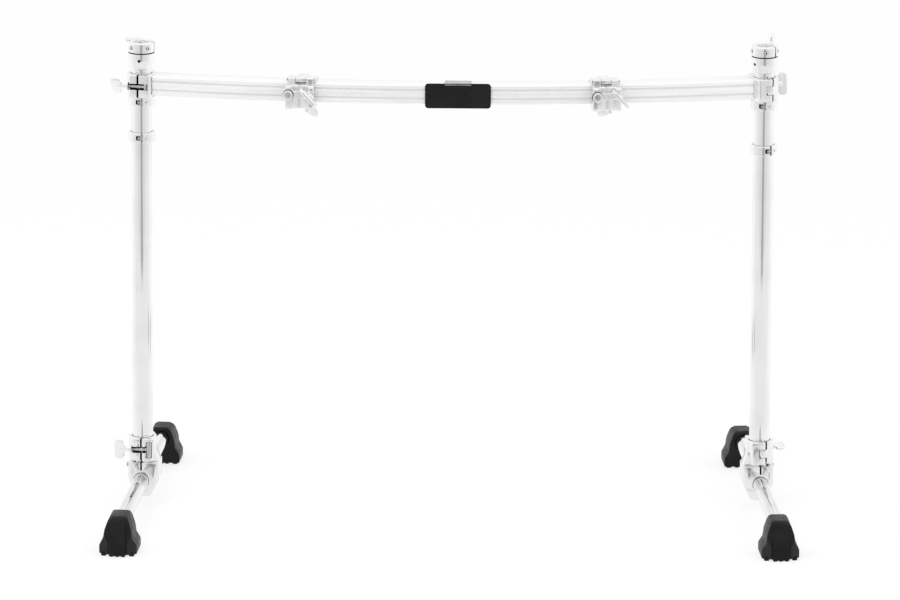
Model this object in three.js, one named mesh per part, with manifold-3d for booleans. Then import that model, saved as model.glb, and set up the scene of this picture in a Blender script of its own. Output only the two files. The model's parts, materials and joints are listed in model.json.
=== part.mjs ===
import * as THREE from 'three';
import { mergeVertices } from 'three/addons/utils/BufferGeometryUtils.js';
import Module from 'manifold-3d';

// Drum rack frame: two posts on tee legs carry one curved rail with two pipe clamps.
// Millimetres, +X to the right, +Y to the back, +Z up, origin on the floor under the frame's middle.

const wasm = await Module();
wasm.setup();

// Overall
const postSpacing = 1140;
const fitGap = 0.35;
const partingGap = 0.6;
const overrun = 3;
const weldDistance = 0.0005;
const roundSides = 26;
const smallSides = 12;

// Posts
const postRadius = 19.05;
const postWall = 2;
const postFoot = 90;

// Cups and rings on the post tops
const seamRise = 41;
const cupHeight = 30;
const cupRadius = 24;
const cupFootRadius = 21.4;
const cupFootChamfer = 1.6;
const cupLip = 3;
const cupFullShare = 0.6;
const ringHeight = 19;
const ringChamfer = 2.2;
const ringBore = 15;
const ringSlit = 3;
const ringSlitAngle = 0.85;
const ringScrewAngle = 1.48;
const ringScrewRadius = 3.4;
const ringScrewStand = 1.6;
const setScrewRadius = 2;
const setScrewAngle = 0.77;
const topBossRadius = 6.5;
const topBossStand = 5;
const topWingAngle = 2.76;

// Wings, shared by every wing nut and wing bolt
const wingRodRadius = 3.6;
const wingBossRadius = 5.8;
const wingBossLength = 13;
const wingSpan = 22;
const wingDepth = 19;
const wingThickness = 5;

// Split clamps round the posts
const clampHeight = 42;
const clampBarrel = 24.5;
const gateBarrel = 26;
const clampFront = 31;
const clampBack = 30.5;
const clampInner = 20;
const clampSplit = 2;
const clampGateEdge = -1;
const clampHingeEdge = -9;
const gateHingeEdge = -11;
const clampHingeInner = 16.5;
const gateLugFace = -16.5;
const lugCorner = 4;
const hingeX = -2.5;
const hingeY = 25.5;
const hingePinRadius = 2.4;
const hingePinHead = 1.5;
const hingePinHeadShare = 1.5;
const knuckleRadius = 5;
const knuckleHeight = 15;
const boltSlotHeight = 11.5;
const boltX = 15;
const boltY = -26;
const trunnionRadius = 4;
const nutStand = 3;
const nutCover = 3;

// Rail
const railSag = 64;
const railDepth = 40;
const railHeight = 36;
const railTop = 815;
const railWall = 2.6;
const railCorner = 2;
const railGroove = 5.5;
const railGrooveDepth = 1.4;
const railGrooveShares = [-0.22, 0.22];
const railSteps = 30;
const railEndInset = 24.9;
const spigotLength = 24;
const spigotGap = 0.9;

// Rail end clamps
const railClampRise = 2;

// Stop locks on the posts
const lockRadius = 25;
const lockHeight = 18;
const lockGap = 3;
const lockPocketWidth = 9;
const lockWall = 1.2;
const lockPocketHeight = 8;
const lockPocketDepth = 5;
const lockBoltRadius = 1.6;
const lockBoltHead = 4.4;
const lockBoltHeadLength = 4.6;
const lockBoltPlace = 22.4;
const lowerLockDrops = [67.65, 84.65];
const lockAngles = [0.04, 0.56];

// Bases
const baseTop = 130;
const hubOuter = 24;
const hubInner = 33;
const hubTop = 84;
const hubWaist = 50;
const hubBottom = 20;
const hubFootHalf = 12;
const hubHalfLength = 28;
const hubChamfer = 5;
const hubSlit = 2.6;
const neckHalf = 20;
const splayAngle = 0.085;
const legOffset = 16;
const legHeight = 50;
const legRadius = 14.3;
const legWall = 1.8;
const legBoltHeight = 76.5;
const legBoltY = -13;
const legBoltRadius = 2.6;
const legBoltHead = 4.2;
const legBoltHeadLength = 4;

// Feet
const footInner = 286;
const footLength = 74;
const footHeight = 71;
const footHalf = 34.5;
const footTopLength = 56;
const footTread = 3;
const footBandHalf = 15.5;
const footBandStand = 5;
const footEndWall = 4;
const footCeiling = 3;

// Badge plate on the middle of the rail
const badgeWidth = 120;
const badgeHeight = 46;
const badgeThickness = 2.2;
const badgeCorner = 5;
const badgeCornerSides = 4;
const badgeCentre = 10;
const badgeDrop = 2.5;
const tabWidth = 48;
const tabReach = 30;

// Pipe clamps on the rail
const pipeClampPlaces = [-274, 277];
const saddleWidth = 52;
const saddleDepth = 27;
const saddleTop = 17.6;
const saddleBottom = 27;
const saddleBevel = 5;
const channelRadius = 17;
const channelInset = 4;
const shelfReach = 20;
const shelfThickness = 7;
const hookHingeLift = 6.6;
const hookHingeStand = 2.2;
const hookKnuckleRadius = 5.8;
const hookKnuckleLength = 18;
const hookPinRadius = 2.4;
const hookPlate = 3.6;
const hookLegDrop = 30;
const hookRibWidth = 17;
const hookRibHeight = 7;
const hookLip = 4;
const strapHeight = 13;
const strapDepth = 8;
const strapPivotX = -19;
const strapLift = 3;
const strapBarrel = 9;
const strapBarrelDepth = 15;
const strapPinRadius = 4.6;
const strapPinStand = 4;
const jawBoltX = 21;
const jawBoltRadius = 3.4;
const jawBoltAngle = -0.75;
const strapSlotOpen = 4.8;
const strapCorner = 1.5;
const strapEndShare = 0.75;
const railScrewX = 9.5;
const railScrewInset = 12;
const railScrewRadius = 3.4;
const railScrewBoss = 5;
const railScrewBossHeight = 12;
const railScrewWing = 24;
const railScrewWingHeight = 16;

const finishes = {
  chrome: { color: 0xe4e5e7, roughness: 0.07, metalness: 1 },
  satin: { color: 0xd6d7d8, roughness: 0.34, metalness: 1 },
  rubber: { color: 0x232324, roughness: 0.7, metalness: 0 },
  enamel: { color: 0x1b1b1c, roughness: 0.3, metalness: 0.1 },
  steel: { color: 0xc4c6c8, roughness: 0.2, metalness: 1 },
};

// Closed solids and their joins and cuts

function toSolid(geometry) {
  const bare = geometry.clone();
  bare.deleteAttribute('normal');
  bare.deleteAttribute('uv');
  const merged = mergeVertices(bare, weldDistance);
  const corners = merged.index.array;
  const kept = [];
  for (let i = 0; i < corners.length; i += 3) {
    const [a, b, c] = [corners[i], corners[i + 1], corners[i + 2]];
    if (a !== b && b !== c && c !== a) {
      kept.push(a, b, c);
    }
  }
  return new wasm.Manifold(new wasm.Mesh({
    numProp: 3,
    vertProperties: new Float32Array(merged.attributes.position.array),
    triVerts: new Uint32Array(kept),
  }));
}

function toGeometry(solid) {
  const mesh = solid.getMesh();
  const geometry = new THREE.BufferGeometry();
  geometry.setAttribute('position', new THREE.BufferAttribute(new Float32Array(mesh.vertProperties), 3));
  geometry.setIndex(new THREE.BufferAttribute(new Uint32Array(mesh.triVerts), 1));
  geometry.computeVertexNormals();
  return geometry;
}

function join(...geometries) {
  return toGeometry(geometries.map(toSolid).reduce((whole, next) => whole.add(next)));
}

function cut(base, ...tools) {
  return toGeometry(tools.map(toSolid).reduce((whole, next) => whole.subtract(next), toSolid(base)));
}

function common(...geometries) {
  return toGeometry(geometries.map(toSolid).reduce((whole, next) => whole.intersect(next)));
}

// Shapes that stand on z = 0 unless moved

function block(x0, x1, y0, y1, z0, z1) {
  const box = new THREE.BoxGeometry(x1 - x0, y1 - y0, z1 - z0);
  return box.translate((x0 + x1) / 2, (y0 + y1) / 2, (z0 + z1) / 2);
}

function drum(radius, z0, z1, sides = roundSides) {
  const shape = new THREE.CylinderGeometry(radius, radius, z1 - z0, sides);
  return shape.rotateX(Math.PI / 2).translate(0, 0, (z0 + z1) / 2);
}

function revolve(profile, sides = roundSides) {
  const points = profile.map(([radius, height]) => new THREE.Vector2(radius, height));
  return new THREE.LatheGeometry(points, sides).rotateX(Math.PI / 2);
}

function prism(outline, z0, z1) {
  const shape = new THREE.Shape(outline.map(([x, y]) => new THREE.Vector2(x, y)));
  const solid = new THREE.ExtrudeGeometry(shape, { depth: z1 - z0, bevelEnabled: false });
  return solid.translate(0, 0, z0);
}

// A bar along X from x0 to x1, round the X axis
function barX(radius, x0, x1, sides = smallSides) {
  return drum(radius, x0, x1, sides).rotateY(Math.PI / 2);
}

// A bar along Y from y0 to y1, round the Y axis
function barY(radius, y0, y1, sides = smallSides) {
  return drum(radius, y0, y1, sides).rotateX(-Math.PI / 2);
}

// An outline in the XZ plane, drawn out along Y from y0 to y1
function profileXZ(outline, y0, y1) {
  return prism(outline, -y1, -y0).rotateX(Math.PI / 2);
}

// An outline in the YZ plane, drawn out along X from x0 to x1
function profileYZ(outline, x0, x1) {
  return prism(outline, x0, x1).rotateX(Math.PI / 2).rotateZ(Math.PI / 2);
}

function part(name, geometry, finish) {
  const mesh = new THREE.Mesh(geometry, new THREE.MeshStandardMaterial(finishes[finish]));
  mesh.name = name;
  return mesh;
}

function at(object, x, y, z, turn = 0) {
  object.position.set(x, y, z);
  object.rotation.z = turn;
  return object;
}

// Wing with its boss, on the X axis: the boss begins at x = 0 and the wing points to -X

const wingHalfShares = [[0.62, 0.25], [0.68, 0.72], [0.8, 0.97], [1.15, 1], [1.55, 0.88], [1.6, 0.4]];

const nutBoreDepth = wingBossLength + wingDepth / 2 - nutCover;

function wingOutline() {
  const upper = wingHalfShares.map(([along, across]) => [-along * wingDepth, across * wingSpan]);
  const lower = upper.map(([x, y]) => [x, -y]).reverse();
  return [...lower, ...upper];
}

function wingShape(bore) {
  const wing = profileXZ(wingOutline().reverse(), -wingThickness / 2, wingThickness / 2);
  const boss = barX(wingBossRadius, -wingBossLength - wingDepth / 2, 0);
  const whole = join(boss, wing);
  if (!bore) {
    return whole;
  }
  return cut(whole, barX(bore, -nutBoreDepth, overrun));
}

// Post, cup and ring

const seamHeight = railTop + seamRise;
const cupFoot = seamHeight - cupHeight;
const postTop = seamHeight - cupLip - fitGap;

function postTube() {
  const inner = postRadius - postWall;
  return revolve([
    [inner, postFoot], [postRadius, postFoot], [postRadius, postTop], [inner, postTop], [inner, postFoot],
  ]);
}

function topCup() {
  const bore = postRadius + fitGap;
  const top = seamHeight - fitGap;
  const body = revolve([
    [bore, cupFoot],
    [cupFootRadius - cupFootChamfer / 2, cupFoot],
    [cupFootRadius, cupFoot + cupFootChamfer],
    [cupRadius, cupFoot + cupHeight * cupFullShare],
    [cupRadius, top],
    [ringBore, top],
    [ringBore, seamHeight - cupLip],
    [bore, seamHeight - cupLip],
    [bore, cupFoot],
  ]);
  const hole = barY(setScrewRadius, -cupRadius - overrun, -postRadius - fitGap / 2);
  return cut(body, hole.rotateZ(-setScrewAngle).translate(0, 0, cupFoot + cupHeight * cupFullShare));
}

const ringMiddle = seamHeight + ringHeight / 2;

function topRing() {
  const rim = seamHeight + ringHeight;
  const body = revolve([
    [ringBore, seamHeight],
    [cupRadius, seamHeight],
    [cupRadius, rim - ringChamfer],
    [cupRadius - ringChamfer, rim],
    [ringBore, rim],
    [ringBore, seamHeight],
  ]);
  const screws = [-ringScrewAngle, 0, ringScrewAngle].map((turn) => {
    const screw = barY(ringScrewRadius, -cupRadius - ringScrewStand, -ringBore - ringChamfer);
    return screw.rotateZ(turn).translate(0, 0, ringMiddle);
  });
  const boss = barY(topBossRadius, -cupRadius - topBossStand, -ringBore - ringChamfer);
  const bore = barY(wingRodRadius + fitGap, -cupRadius - topBossStand - overrun, 0);
  const half = ringSlit / 2;
  const slit = block(-half, half, -cupRadius - overrun, 0, seamHeight - overrun, rim + overrun);
  return cut(
    join(body, ...screws, boss.rotateZ(topWingAngle).translate(0, 0, ringMiddle)),
    bore.rotateZ(topWingAngle).translate(0, 0, ringMiddle),
    slit.rotateZ(ringSlitAngle),
  );
}

// Wing bolt whose rod reaches past x = 0 by the given length
function wingBolt(rodLength) {
  return join(wingShape(0), barX(wingRodRadius, -overrun, rodLength));
}

// Split clamp round a post: the fixed half lies on the +X side and the swing bolt on the -Y side

const clampEdge = railEndInset - fitGap;
const clampMiddle = clampHeight / 2;
const windowHalf = knuckleHeight / 2 + partingGap;

function clampBore(extra = 0) {
  return drum(postRadius + fitGap + extra, -overrun, clampHeight + overrun);
}

// A hole for a pin of the given radius, right through the clamp's height
function clampHole(radius) {
  return drum(radius + fitGap, -overrun, clampHeight + overrun, smallSides);
}

function hingeHole() {
  return clampHole(hingePinRadius).translate(hingeX, hingeY, 0);
}

// The slot that the swing bolt lies in, from x0 to x1
function boltSlot(x0, x1) {
  const half = boltSlotHeight / 2;
  const inner = boltY + wingRodRadius + partingGap;
  return block(x0, x1, -clampFront - overrun, inner, clampMiddle - half, clampMiddle + half);
}

function clampBodySolid() {
  const inside = postRadius / 2;
  const lug = [[clampSplit, -clampFront], [clampInner, -clampFront], [clampEdge, -clampFront + lugCorner]];
  const hinge = [[clampHingeInner, clampBack], [hingeX - knuckleRadius / 2, clampBack],
    [clampHingeEdge, hingeY + knuckleRadius / 2]];
  const outline = [...lug, [clampEdge, -inside], [clampEdge, inside], ...hinge,
    [clampHingeEdge, inside], [clampSplit, inside]];
  const barrel = common(drum(clampBarrel, 0, clampHeight),
    block(clampSplit, clampBarrel + overrun, -clampBarrel - overrun, clampBarrel + overrun, 0, clampHeight));
  const slot = boltSlot(clampSplit - overrun, boltX + trunnionRadius + partingGap);
  const window = block(
    clampHingeEdge - overrun, hingeX + knuckleRadius + partingGap,
    hingeY - knuckleRadius - partingGap, clampBack + overrun,
    clampMiddle - windowHalf, clampMiddle + windowHalf,
  );
  const boltHole = clampHole(trunnionRadius).translate(boltX, boltY, 0);
  return cut(join(prism(outline, 0, clampHeight), barrel), clampBore(), slot, window, hingeHole(), boltHole);
}

function clampGate() {
  const reach = gateBarrel + overrun;
  const wall = common(drum(gateBarrel, 0, clampHeight), join(
    block(-reach, gateHingeEdge, -reach, reach, 0, clampHeight),
    block(-reach, clampGateEdge, -reach, 0, 0, clampHeight),
  ));
  const lug = block(gateLugFace, clampGateEdge, -clampFront, -postRadius / 2, 0, clampHeight);
  const [low, high] = [clampMiddle - knuckleHeight / 2, clampMiddle + knuckleHeight / 2];
  const knuckle = drum(knuckleRadius, low, high, smallSides).translate(hingeX, hingeY, 0);
  const armStart = gateHingeEdge - overrun;
  const arm = block(armStart, hingeX, hingeY - knuckleRadius, hingeY + knuckleRadius / 2, low, high);
  const slot = boltSlot(gateLugFace - overrun, clampGateEdge + overrun);
  return cut(join(wall, lug, knuckle, arm), clampBore(), slot, hingeHole());
}

function clampPin() {
  const seat = clampHeight + fitGap;
  const head = drum(hingePinRadius * hingePinHeadShare, seat, seat + hingePinHead, smallSides);
  const shank = drum(hingePinRadius, 0, seat + hingePinHead / 2, smallSides);
  return join(shank, head).translate(hingeX, hingeY, 0);
}

function clampBolt() {
  const trunnion = drum(trunnionRadius, 0, clampHeight, smallSides).translate(boltX, boltY, 0);
  const tip = gateLugFace - nutStand - nutBoreDepth + fitGap;
  return join(trunnion, barX(wingRodRadius, tip, boltX).translate(0, boltY, clampMiddle));
}

// The moving pieces of one split clamp, placed in the clamp's own frame
function clampPieces(name, wingTurn) {
  const nut = part(`${name}_wing_nut`, wingShape(wingRodRadius + fitGap), 'chrome');
  nut.position.set(gateLugFace - nutStand, boltY, clampMiddle);
  nut.rotation.x = wingTurn;
  return [
    part(`${name}_gate`, clampGate(), 'chrome'),
    part(`${name}_hinge_pin`, clampPin(), 'steel'),
    part(`${name}_swing_bolt`, clampBolt(), 'steel'),
    nut,
  ];
}

// Rail on its arc

const halfSpacing = postSpacing / 2;
const railRadius = (halfSpacing ** 2 + railSag ** 2) / (2 * railSag);
const railEndAngle = Math.asin(halfSpacing / railRadius);
const railMiddle = railTop - railHeight / 2;
const railCentreY = railRadius - railSag;

// The rail's middle line at a place along X
function railArcY(x) {
  return railCentreY - Math.sqrt(railRadius ** 2 - x ** 2);
}

// Bends a solid drawn along X onto the rail's arc
function bend(geometry) {
  const place = geometry.attributes.position;
  for (let i = 0; i < place.count; i += 1) {
    const turn = place.getX(i) / railRadius;
    const reach = railRadius - place.getY(i);
    place.setXYZ(i, reach * Math.sin(turn), railCentreY - reach * Math.cos(turn), place.getZ(i));
  }
  return geometry;
}

function railSection() {
  const [front, back] = [-railDepth / 2, railDepth / 2];
  const [low, high] = [-railHeight / 2, railHeight / 2];
  const grooves = railGrooveShares.flatMap((share) => {
    const middle = -share * railHeight;
    return [
      [front, middle + railGroove / 2],
      [front + railGrooveDepth, middle + railGroove / 2 - railGrooveDepth],
      [front + railGrooveDepth, middle - railGroove / 2 + railGrooveDepth],
      [front, middle - railGroove / 2],
    ];
  });
  return [
    [front + railCorner, low], [back - railCorner, low], [back, low + railCorner], [back, high - railCorner],
    [back - railCorner, high], [front + railCorner, high], [front, high - railCorner],
    ...grooves, [front, low + railCorner],
  ];
}

const hollowHalfDepth = railDepth / 2 - railWall - railGrooveDepth;
const hollowHalfHeight = railHeight / 2 - railWall;

function rail() {
  const outline = new THREE.Shape(railSection().map(([y, z]) => new THREE.Vector2(y, z)));
  const [y, z] = [hollowHalfDepth, hollowHalfHeight];
  const hollow = [[-y, -z], [-y, z], [y, z], [y, -z]];
  outline.holes.push(new THREE.Path(hollow.map(([a, b]) => new THREE.Vector2(a, b))));
  const halfLength = railRadius * railEndAngle - railEndInset;
  const length = { depth: 2 * halfLength, steps: railSteps, bevelEnabled: false };
  const bar = new THREE.ExtrudeGeometry(outline, length);
  bar.rotateX(Math.PI / 2).rotateZ(Math.PI / 2).translate(-halfLength, 0, railMiddle);
  return join(bend(bar));
}

function badgePlate() {
  const half = badgeWidth / 2;
  const [low, high] = [-badgeHeight / 2, badgeHeight / 2];
  const c = badgeCorner;
  const shape = new THREE.Shape();
  shape.moveTo(-half + c, low).lineTo(half - c, low).absarc(half - c, low + c, c, -Math.PI / 2, 0);
  shape.lineTo(half, high - c).absarc(half - c, high - c, c, 0, Math.PI / 2);
  shape.lineTo(-half + c, high).absarc(-half + c, high - c, c, Math.PI / 2, Math.PI);
  shape.lineTo(-half, low + c).absarc(-half + c, low + c, c, Math.PI, 1.5 * Math.PI);
  const thickness = { depth: badgeThickness, bevelEnabled: false, curveSegments: badgeCornerSides };
  const plate = new THREE.ExtrudeGeometry(shape, thickness).rotateX(Math.PI / 2);
  const sheet = plate.translate(0, -railDepth / 2 - fitGap, railMiddle - badgeDrop / 2);
  const tabLow = railTop + fitGap;
  const tab = block(-tabWidth / 2, tabWidth / 2, -railDepth / 2 - fitGap - badgeThickness / 2,
    tabReach - railDepth / 2, tabLow, tabLow + badgeThickness);
  const top = railMiddle - badgeDrop / 2 + badgeHeight / 2;
  const web = block(-tabWidth / 2, tabWidth / 2, -railDepth / 2 - fitGap - badgeThickness,
    -railDepth / 2 - fitGap, top - overrun, tabLow + badgeThickness);
  return join(sheet, tab, web);
}

const railClampBase = railTop + railClampRise - clampHeight;
const upperLockTop = railClampBase - fitGap;

// Rail end clamp: the split clamp's fixed half with a spigot that fills the rail's hollow
function railClampBody() {
  const y = hollowHalfDepth - spigotGap;
  const z = hollowHalfHeight - fitGap;
  const middle = railMiddle - railClampBase;
  const spigot = block(clampBarrel - overrun, railEndInset + spigotLength, -y, y, middle - z, middle + z);
  const flange = block(clampBarrel - overrun * 2, clampEdge, -railDepth / 2, railDepth / 2,
    middle - railHeight / 2, middle + railHeight / 2);
  return join(clampBodySolid(), cut(join(spigot, flange), clampBore()));
}

// Stop lock: a ring with a slit in front, drawn together by a square-headed bolt

const lockPocketEdge = -lockGap / 2 - lockPocketWidth;

function stopLock() {
  const hole = drum(postRadius + fitGap, -overrun, lockHeight + overrun);
  const ring = cut(drum(lockRadius, 0, lockHeight), hole);
  const slit = block(-lockGap / 2, lockGap / 2, -lockRadius - overrun, 0, -overrun, lockHeight + overrun);
  const middle = lockHeight / 2;
  const pocket = block(
    lockPocketEdge, -lockGap / 2 - lockWall, -lockRadius - overrun, -lockRadius + lockPocketDepth,
    middle - lockPocketHeight / 2, middle + lockPocketHeight / 2,
  );
  const bore = barX(lockBoltRadius + fitGap, lockPocketEdge, -lockPocketEdge);
  return cut(ring, slit, pocket, bore.translate(0, -lockBoltPlace, middle));
}

function lockBolt() {
  const half = lockBoltHead / 2;
  const inner = -lockGap / 2 - lockWall - fitGap;
  const head = block(inner - lockBoltHeadLength, inner, -half, half, -half, half);
  const rod = barX(lockBoltRadius, inner - overrun / 2, -lockPocketEdge - lockBoltHeadLength);
  return join(head, rod).translate(0, -lockBoltPlace, lockHeight / 2);
}

// Base: the split clamp's fixed half on a hub that grips the leg

const baseBase = baseTop - clampHeight;

function hubBody() {
  const outline = [
    [-hubOuter, hubTop], [-hubOuter, hubWaist], [-hubFootHalf, hubBottom],
    [hubFootHalf + hubChamfer, hubBottom], [hubInner, hubWaist], [hubInner, hubTop],
  ];
  const long = profileXZ(outline, -hubHalfLength, hubHalfLength);
  const plan = prism([
    [-hubOuter, -hubHalfLength + hubChamfer], [-hubOuter + hubChamfer, -hubHalfLength],
    [hubInner - hubChamfer, -hubHalfLength], [hubInner, -hubHalfLength + hubChamfer],
    [hubInner, hubHalfLength - hubChamfer], [hubInner - hubChamfer, hubHalfLength],
    [-hubOuter + hubChamfer, hubHalfLength], [-hubOuter, hubHalfLength - hubChamfer],
  ], 0, baseTop);
  return common(long, plan);
}

function baseCasting() {
  const neck = profileXZ([
    [clampSplit, hubTop - overrun], [hubInner, hubTop - overrun], [hubInner, baseBase],
    [clampEdge, baseBase + clampHeight / 2], [clampSplit, baseBase + clampHeight / 2],
  ], -neckHalf, neckHalf);
  const clamp = clampBodySolid().translate(0, 0, baseBase);
  const throatTop = baseBase - partingGap;
  const throat = block(gateHingeEdge, clampInner, -neckHalf, neckHalf, hubTop - overrun, throatTop);
  const whole = join(clamp, hubBody(), neck, throat);
  const postBore = drum(postRadius + fitGap, postFoot - fitGap, baseTop + overrun);
  const legBore = barY(legRadius + fitGap, -hubHalfLength - overrun, hubHalfLength + overrun, roundSides)
    .translate(0, 0, legHeight);
  const slitEnd = -hubHalfLength - overrun;
  const slit = block(-hubSlit / 2, hubSlit / 2, slitEnd, -hubHalfLength / 2, legHeight, baseTop);
  const boltBore = barX(legBoltRadius + fitGap, -hubOuter - overrun, hubInner / 2);
  boltBore.translate(0, legBoltY, legBoltHeight);
  const swing = boltSlot(clampSplit, boltX + trunnionRadius + partingGap).translate(0, 0, baseBase);
  return cut(whole, postBore, legBore, slit, boltBore, swing);
}

// Bolt that draws the hub together round the leg
function legBolt() {
  const seat = -hubOuter - fitGap;
  const head = barX(legBoltHead, seat - legBoltHeadLength, seat);
  const shank = barX(legBoltRadius, -hubOuter - overrun, hubInner / 2 - fitGap);
  return join(head, shank).translate(0, legBoltY, legBoltHeight);
}

// Leg: one straight tube with a foot on each end

const footOuter = footInner + footLength;
const footTopOuter = footInner + footTopLength;
const footTubeStop = footTopOuter - footEndWall;

function legTube() {
  const inner = legRadius - legWall;
  const reach = footTubeStop;
  return revolve([[inner, -reach], [legRadius, -reach], [legRadius, reach], [inner, reach], [inner, -reach]])
    .rotateX(Math.PI / 2).translate(0, 0, legHeight);
}

const footFrontShares = [[0, 0.94], [0.05, 1], [0.27, 1], [0.42, 0.82], [0.56, 0.74]];
const footTopShares = [[0.9, 0.55], [1, 0.415]];

// The foot that points to -Y
function rubberFoot() {
  const shares = [...footFrontShares, ...footTopShares];
  const right = shares.map(([up, across]) => [across * footHalf, up * footHeight]);
  const left = right.map(([x, z]) => [-x, z]).reverse();
  const front = profileXZ([...right, ...left], -footOuter - overrun, -footInner);
  const side = profileYZ([
    [-footInner, footTread], [-footInner, footHeight - footCeiling], [-footInner - footCeiling, footHeight],
    [-footTopOuter + footCeiling, footHeight], [-footTopOuter, footHeight - footCeiling * 2],
    [-footOuter + footBandStand, footHeight / 3], [-footOuter + footBandStand, footTread],
  ], -footHalf, footHalf);
  const band = profileYZ([
    [-footInner - footCeiling, 0], [-footInner - footCeiling, footHeight / 2],
    [-footTopOuter, footHeight - footCeiling * 2], [-footOuter, footHeight / 3], [-footOuter, 0],
  ], -footBandHalf, footBandHalf);
  const sole = block(-footHalf * footFrontShares[0][1], footHalf * footFrontShares[0][1],
    -footOuter + footBandStand * 2, -footInner - footCeiling, 0, footTread + footCeiling);
  const socket = barY(legRadius + fitGap, -footTubeStop - fitGap, -footInner + overrun, roundSides)
    .translate(0, 0, legHeight);
  return cut(join(common(front, side), band, sole), socket);
}

// Pipe clamp, drawn on a straight rail: z = 0 is the rail's middle height

const saddleFace = -railDepth / 2 - fitGap;
const saddleFront = saddleFace - saddleDepth;
const hookHingeY = saddleFace - hookHingeStand;
const railScrewY = saddleFace + railScrewInset;
const hookHingeZ = railHeight / 2 + hookHingeLift;

function pipeClampBody() {
  const half = saddleWidth / 2;
  const side = profileYZ([
    [saddleFront + saddleBevel, -saddleBottom], [saddleFace, -saddleBottom], [saddleFace, saddleTop],
    [saddleFront + saddleBevel, saddleTop], [saddleFront, saddleTop - saddleBevel],
    [saddleFront, -saddleBottom + saddleBevel],
  ], -half, half);
  const shelf = block(-half + saddleBevel, half - saddleBevel, saddleFace - overrun, saddleFace + shelfReach,
    -railHeight / 2 - fitGap - shelfThickness, -railHeight / 2 - fitGap);
  const knuckle = barX(hookKnuckleRadius, -half + overrun, half - overrun)
    .translate(0, hookHingeY, hookHingeZ);
  const web = block(-half + overrun, half - overrun, hookHingeY - hookKnuckleRadius, saddleFace,
    saddleTop - overrun, hookHingeZ);
  const gapHalf = hookKnuckleLength / 2 + partingGap;
  const gap = block(
    -gapHalf, gapHalf, hookHingeY - hookKnuckleRadius - overrun, 0,
    saddleTop - saddleBevel / 2, hookHingeZ + hookKnuckleRadius + overrun,
  );
  const channel = drum(channelRadius, -saddleBottom - overrun, saddleTop + overrun)
    .translate(0, saddleFront - channelInset, 0);
  const pinHole = barX(hookPinRadius + fitGap, -half - overrun, half + overrun)
    .translate(0, hookHingeY, hookHingeZ);
  const screwHole = drum(railScrewRadius + fitGap, -saddleBottom - overrun, 0, smallSides)
    .translate(railScrewX, railScrewY, 0);
  const strapPinHole = barY(strapPinRadius + fitGap, saddleFront - overrun, saddleFront + saddleDepth / 2)
    .translate(strapPivotX, 0, strapLift);
  const jawHole = barY(jawBoltRadius + fitGap, saddleFront - overrun, saddleFront + saddleDepth / 2)
    .translate(jawBoltX, 0, strapLift);
  return cut(join(side, shelf, knuckle, web), gap, channel, pinHole, screwHole, strapPinHole, jawHole);
}

function pipeClampHook() {
  const half = saddleWidth / 2 - fitGap;
  const under = railHeight / 2 + fitGap;
  const back = railDepth / 2 + fitGap;
  const plate = block(-half, half, saddleFace + hookLip, back + hookPlate, under, under + hookPlate);
  const leg = block(-half, half, back, back + hookPlate, under - hookLegDrop, under + hookPlate);
  const rib = block(-hookRibWidth / 2, hookRibWidth / 2, saddleFace + hookLip, back + hookPlate + hookLip,
    under + hookPlate / 2, under + hookRibHeight);
  const knuckle = barX(hookKnuckleRadius, -hookKnuckleLength / 2, hookKnuckleLength / 2)
    .translate(0, hookHingeY, hookHingeZ);
  const neck = block(-hookKnuckleLength / 2, hookKnuckleLength / 2, hookHingeY, saddleFace + hookLip * 2,
    under + hookPlate / 2, hookHingeZ + hookKnuckleRadius / 2);
  const pinHole = barX(hookPinRadius + fitGap, -hookKnuckleLength, hookKnuckleLength)
    .translate(0, hookHingeY, hookHingeZ);
  return cut(join(plate, leg, rib, knuckle, neck), pinHole);
}

function pipeClampHookPin() {
  const half = saddleWidth / 2;
  return barX(hookPinRadius, -half, half).translate(0, hookHingeY, hookHingeZ);
}

// Strap that closes the channel: it turns on the pin at its left and slips off the jaw bolt at its right

const strapBack = saddleFront - partingGap;
const strapFront = strapBack - strapDepth;

function pipeClampStrap() {
  const barrel = barY(strapBarrel, strapBack - strapBarrelDepth, strapBack, roundSides);
  const end = jawBoltX + strapBarrel * strapEndShare;
  const bar = profileXZ([
    [strapPivotX, -strapHeight / 2], [end - strapCorner, -strapHeight / 2],
    [end, -strapHeight / 2 + strapCorner], [end, strapHeight / 2 - strapCorner],
    [end - strapCorner, strapHeight / 2], [strapPivotX, strapHeight / 2],
  ], strapFront, strapBack);
  const pinHole = barY(strapPinRadius + fitGap, strapBack - strapBarrelDepth - overrun, strapBack + overrun)
    .translate(strapPivotX, 0, 0);
  const slot = block(
    jawBoltX - strapSlotOpen, jawBoltX + strapSlotOpen,
    strapFront - overrun, strapBack + overrun, -strapHeight, strapSlotOpen,
  );
  return cut(join(barrel.translate(strapPivotX, 0, 0), bar), pinHole, slot).translate(0, 0, strapLift);
}

function pipeClampStrapPin() {
  const front = strapBack - strapBarrelDepth - strapPinStand;
  const pin = barY(strapPinRadius, front, saddleFront + saddleDepth / 2 - fitGap);
  return pin.translate(strapPivotX, 0, strapLift);
}

// Jaw bolt: a wing in front of the strap and a rod into the body, along its own X axis
const jawRodLength = strapFront - partingGap - saddleFront - saddleDepth / 2;

// The screw's one-sided wing, along and down
const screwWingShares = [[0, 0.6], [0.5, 1], [0.96, 1], [1, 0.3], [0.9, 0.12], [0.4, 0], [0, 0.2]];

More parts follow.
